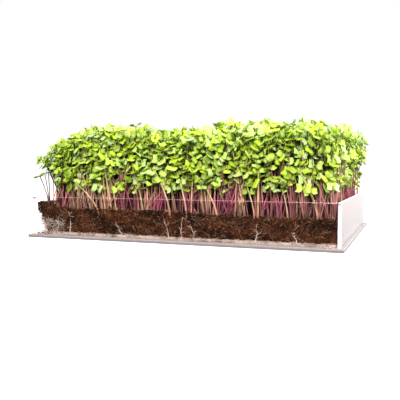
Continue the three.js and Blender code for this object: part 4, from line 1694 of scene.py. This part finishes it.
class SproutSettings(bpy.types.PropertyGroup):
    """Sizes and colours of the sprouts."""

    leaf_length: sized("Large leaf", "Length of the larger seed leaves with their stalks", 0.0102)
    fill_leaf_length: sized("Small leaf", "Length of the smaller seed leaves with their stalks", 0.0076)
    stem_radius: sized("Stem radius", "Radius of a usual stem", 0.00048)
    glow: shared("Glow", "Share of light that comes through a leaf", 0.20)
    leaf_dark: coloured("Dark leaf", "Colour of the darkest leaves", (0.19, 0.29, 0.001))
    leaf_mid: coloured("Leaf", "Colour of most leaves", (0.60, 0.83, 0.010))
    # Also the colour of the painted highlights mottled over every leaf
    leaf_pale: coloured("Pale leaf", "Colour of the palest leaves", (0.55, 0.74, 0.29))
    leaf_lit: coloured("Lit leaf", "Colour of the light that comes through a leaf", (0.50, 0.66, 0.03))
    leaf_rib: coloured("Leaf foot", "Colour where the leaf joins its stalk", (0.50, 0.54, 0.08))
    cream_stem: coloured("Cream stem", "Colour of the pale stems", (0.80, 0.49, 0.29))
    pink_stem: coloured("Pink stem", "Colour of the pink stems", (0.68, 0.13, 0.23))
    green_stem: coloured("Green stem", "Colour of a stem under its leaves", (0.40, 0.44, 0.09))
    stem_foot: coloured("Stem foot", "Colour of a stem where it leaves the soil", (0.60, 0.34, 0.29))
    # Painted shade: the near-black that stems far inside are darkened towards
    shaded_stem: coloured("Deep stem", "Colour of the stems far inside", (0.022, 0.007, 0.004))


class HuskSettings(bpy.types.PropertyGroup):
    """Counts and colours of the seed coats."""

    on_soil: counted("On the soil", "Number of seed coats on the soil", 42)
    on_leaves: shared("On leaves", "Share of the larger leaves with a seed coat", 0.12)
    husk: coloured("Husk", "Colour of the seed coats", (0.46, 0.29, 0.15))
    dark_husk: coloured("Dark husk", "Darker patches of the seed coats", (0.16, 0.08, 0.04))


class StageSettings(bpy.types.PropertyGroup):
    """The floor, the lights and the backdrop."""

    floor_size: sized("Floor", "Length of the floor's sides", 8.0)
    floor_glow: powered("Floor glow", "Light given off by the floor near the tray", 0.35)
    top_power: powered("Top light", "Power of the top softbox", 13.0)
    front_power: powered("Front light", "Power of the front softbox", 29.0)
    side_power: powered("Side light", "Power of the right softbox", 42.0)
    backdrop: powered("Backdrop", "Strength of the backdrop", 1.0)
    fill: shared("Fill", "Share of the backdrop's light that falls on the object", 0.10)
    front_dim: shared("Front share", "Share of the backdrop's light low at the front", 0.005)


class MICROGREENS_OT_tray(bpy.types.Operator):
    """Builds the clear sheets of the tray"""

    bl_idname = "microgreens.tray"
    bl_label = "Tray"
    bl_options = {"REGISTER", "UNDO"}

    def execute(self, context):
        settings = context.scene.microgreens_tray
        clear = cast_acrylic("clear_acrylic", settings, 0.0, CLEAR_WEAR)
        wiped = cast_acrylic("wiped_acrylic", settings, settings.haze, WIPED_WEAR)
        # The walls' sawn edges give off a painted glow
        edge = sawn_acrylic("sawn_edge", settings.edge, settings.edge, settings.edge_glow)
        # The base's edges: no glow, and a painted contact shadow at their foot
        base_edge = sawn_acrylic("sawn_base_edge", settings.base_edge, settings.base_foot_shadow, 0.0)
        rim = sawn_acrylic("sawn_rim", settings.rim, settings.rim, 0.0)
        for node in TRAY_SHEETS:
            face = wiped if node == "right_wall" else clear
            side = base_edge if node == "base_plate" else edge
            top = rim if node in ("front_wall", "back_wall") else side
            bm = build_sheet(node, settings)
            sheet = finished_piece(f"{node}_sheet", bm, [face, side, top], rounded=False)
            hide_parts(node)
        return {"FINISHED"}


class MICROGREENS_OT_soil(bpy.types.Operator):
    """Builds the coir block with its loose fibres and crumbs"""

    bl_idname = "microgreens.soil"
    bl_label = "Soil"
    bl_options = {"REGISTER", "UNDO"}

    def execute(self, context):
        settings = context.scene.microgreens_soil
        material = coir_soil(settings)
        slab = finished_piece("soil_block", build_soil_slab(settings), [material])
        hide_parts("soil")
        litter = build_soil_litter(settings)
        finished_piece("soil_fibres", litter.bm, [material], litter.numbers)
        return {"FINISHED"}


class MICROGREENS_OT_roots(bpy.types.Operator):
    """Builds the root mat and the roots behind the clear walls"""

    bl_idname = "microgreens.roots"
    bl_label = "Roots"
    bl_options = {"REGISTER", "UNDO"}

    def execute(self, context):
        settings = context.scene.microgreens_roots
        stained = pale_root("stained_root", settings, 0.42)
        felt = finished_piece("root_felt", build_root_slab(), [stained])
        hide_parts("root_mat")
        clean = pale_root("clean_root", settings, 0.45)
        finished_piece("root_strands", build_root_strands(settings).bm, [clean])
        return {"FINISHED"}


class MICROGREENS_OT_sprouts(bpy.types.Operator):
    """Grows every bunch of sprouts where its solid stands"""

    bl_idname = "microgreens.sprouts"
    bl_label = "Sprouts"
    bl_options = {"REGISTER", "UNDO"}

    def execute(self, context):
        settings = context.scene.microgreens_sprouts
        bunches = grow_bunches()
        check_bunches(bunches)
        materials = [sprout_stem(settings), seed_leaf(settings)]
        stems = (tube_template("stem_template", 5, 5), tube_template("inner_stem_template", 3, 4))
        leaves = [
            [leaf_template(f"leaf_{columns}_{name}", columns, *shape) for name, *shape in LEAF_SHAPES]
            for columns in (OUTER_COLUMNS, INNER_COLUMNS)
        ]
        stream = Stream(LEAF_SEED)
        for bunch, growths in enumerate(fill_bunches(bunches, settings)):
            name = grid_name(bunch)
            inside = bunch >= BUNCH_COLUMNS and bunch % BUNCH_COLUMNS < BUNCH_COLUMNS - 1
            stamps = build_bunch(growths, stems, leaves, inside, stream)
            piece = finished_piece(f"bunch_{name}", stamps.bm, materials, stamps.numbers)
            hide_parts(f"sprouts_{name}")
        return {"FINISHED"}


class MICROGREENS_OT_husks(bpy.types.Operator):
    """Scatters the seed coats"""

    bl_idname = "microgreens.husks"
    bl_label = "Seed coats"
    bl_options = {"REGISTER", "UNDO"}

    def execute(self, context):
        settings = context.scene.microgreens_husks
        husks = build_husks(settings, grow_bunches())
        finished_piece("seed_coats", husks.bm, [seed_husk(settings)])
        return {"FINISHED"}


class MICROGREENS_OT_stage(bpy.types.Operator):
    """Sets up the floor, the backdrop, the lights and the camera"""

    bl_idname = "microgreens.stage"
    bl_label = "Stage"
    bl_options = {"REGISTER", "UNDO"}

    def execute(self, context):
        settings = context.scene.microgreens_stage
        bm = bmesh.new()
        bmesh.ops.create_grid(bm, x_segments=4, y_segments=4, size=settings.floor_size / 2)
        bmesh.ops.translate(bm, verts=bm.verts[:], vec=(0.0, 0.0, -FLOOR_DROP))
        mesh = bpy.data.meshes.new("floor")
        bm.to_mesh(mesh)
        bm.free()
        mesh.materials.append(studio_floor(settings))
        floor = bpy.data.objects.new("floor", mesh)
        floor.visible_glossy = False
        floor.visible_diffuse = False
        context.scene.collection.objects.link(floor)
        floor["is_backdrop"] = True
        add_backdrop(settings)
        for name, place, size in SOFTBOXES:
            add_softbox(f"{name}_softbox", place, size, getattr(settings, f"{name}_power"))
        add_camera()
        context.scene.view_settings.view_transform = "Standard"
        return {"FINISHED"}


class MICROGREENS_PT_panel(bpy.types.Panel):
    """Lists the operators and their settings"""

    bl_idname = "MICROGREENS_PT_panel"
    bl_label = "Microgreens Tray"
    bl_space_type = "VIEW_3D"
    bl_region_type = "UI"
    bl_category = "Microgreens"

    def draw(self, context):
        for operator, name, group in STEPS:
            box = self.layout.box()
            box.operator(operator.bl_idname)
            settings = getattr(context.scene, name)
            for key in group.__annotations__:
                box.prop(settings, key)


STEPS = (
    (MICROGREENS_OT_stage, "microgreens_stage", StageSettings),
    (MICROGREENS_OT_tray, "microgreens_tray", TraySettings),
    (MICROGREENS_OT_soil, "microgreens_soil", SoilSettings),
    (MICROGREENS_OT_roots, "microgreens_roots", RootSettings),
    (MICROGREENS_OT_sprouts, "microgreens_sprouts", SproutSettings),
    (MICROGREENS_OT_husks, "microgreens_husks", HuskSettings),
)


def register():
    """Registers the settings, the operators and the panel."""
    for operator, name, group in STEPS:
        bpy.utils.register_class(group)
        bpy.utils.register_class(operator)
        setattr(bpy.types.Scene, name, PointerProperty(type=group))
    bpy.utils.register_class(MICROGREENS_PT_panel)


def unregister():
    """Takes them out again."""
    bpy.utils.unregister_class(MICROGREENS_PT_panel)
    for operator, name, group in reversed(STEPS):
        delattr(bpy.types.Scene, name)
        bpy.utils.unregister_class(operator)
        bpy.utils.unregister_class(group)


def main():
    """Builds everything in order."""
    register()
    bpy.ops.microgreens.stage()
    bpy.ops.microgreens.tray()
    bpy.ops.microgreens.soil()
    bpy.ops.microgreens.roots()
    bpy.ops.microgreens.sprouts()
    bpy.ops.microgreens.husks()
    boxes = {"cad": CAD_BOX, "visual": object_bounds()}
    plain = {name: [list(corner) for corner in box] for name, box in boxes.items()}


if __name__ == "__main__":
    main()
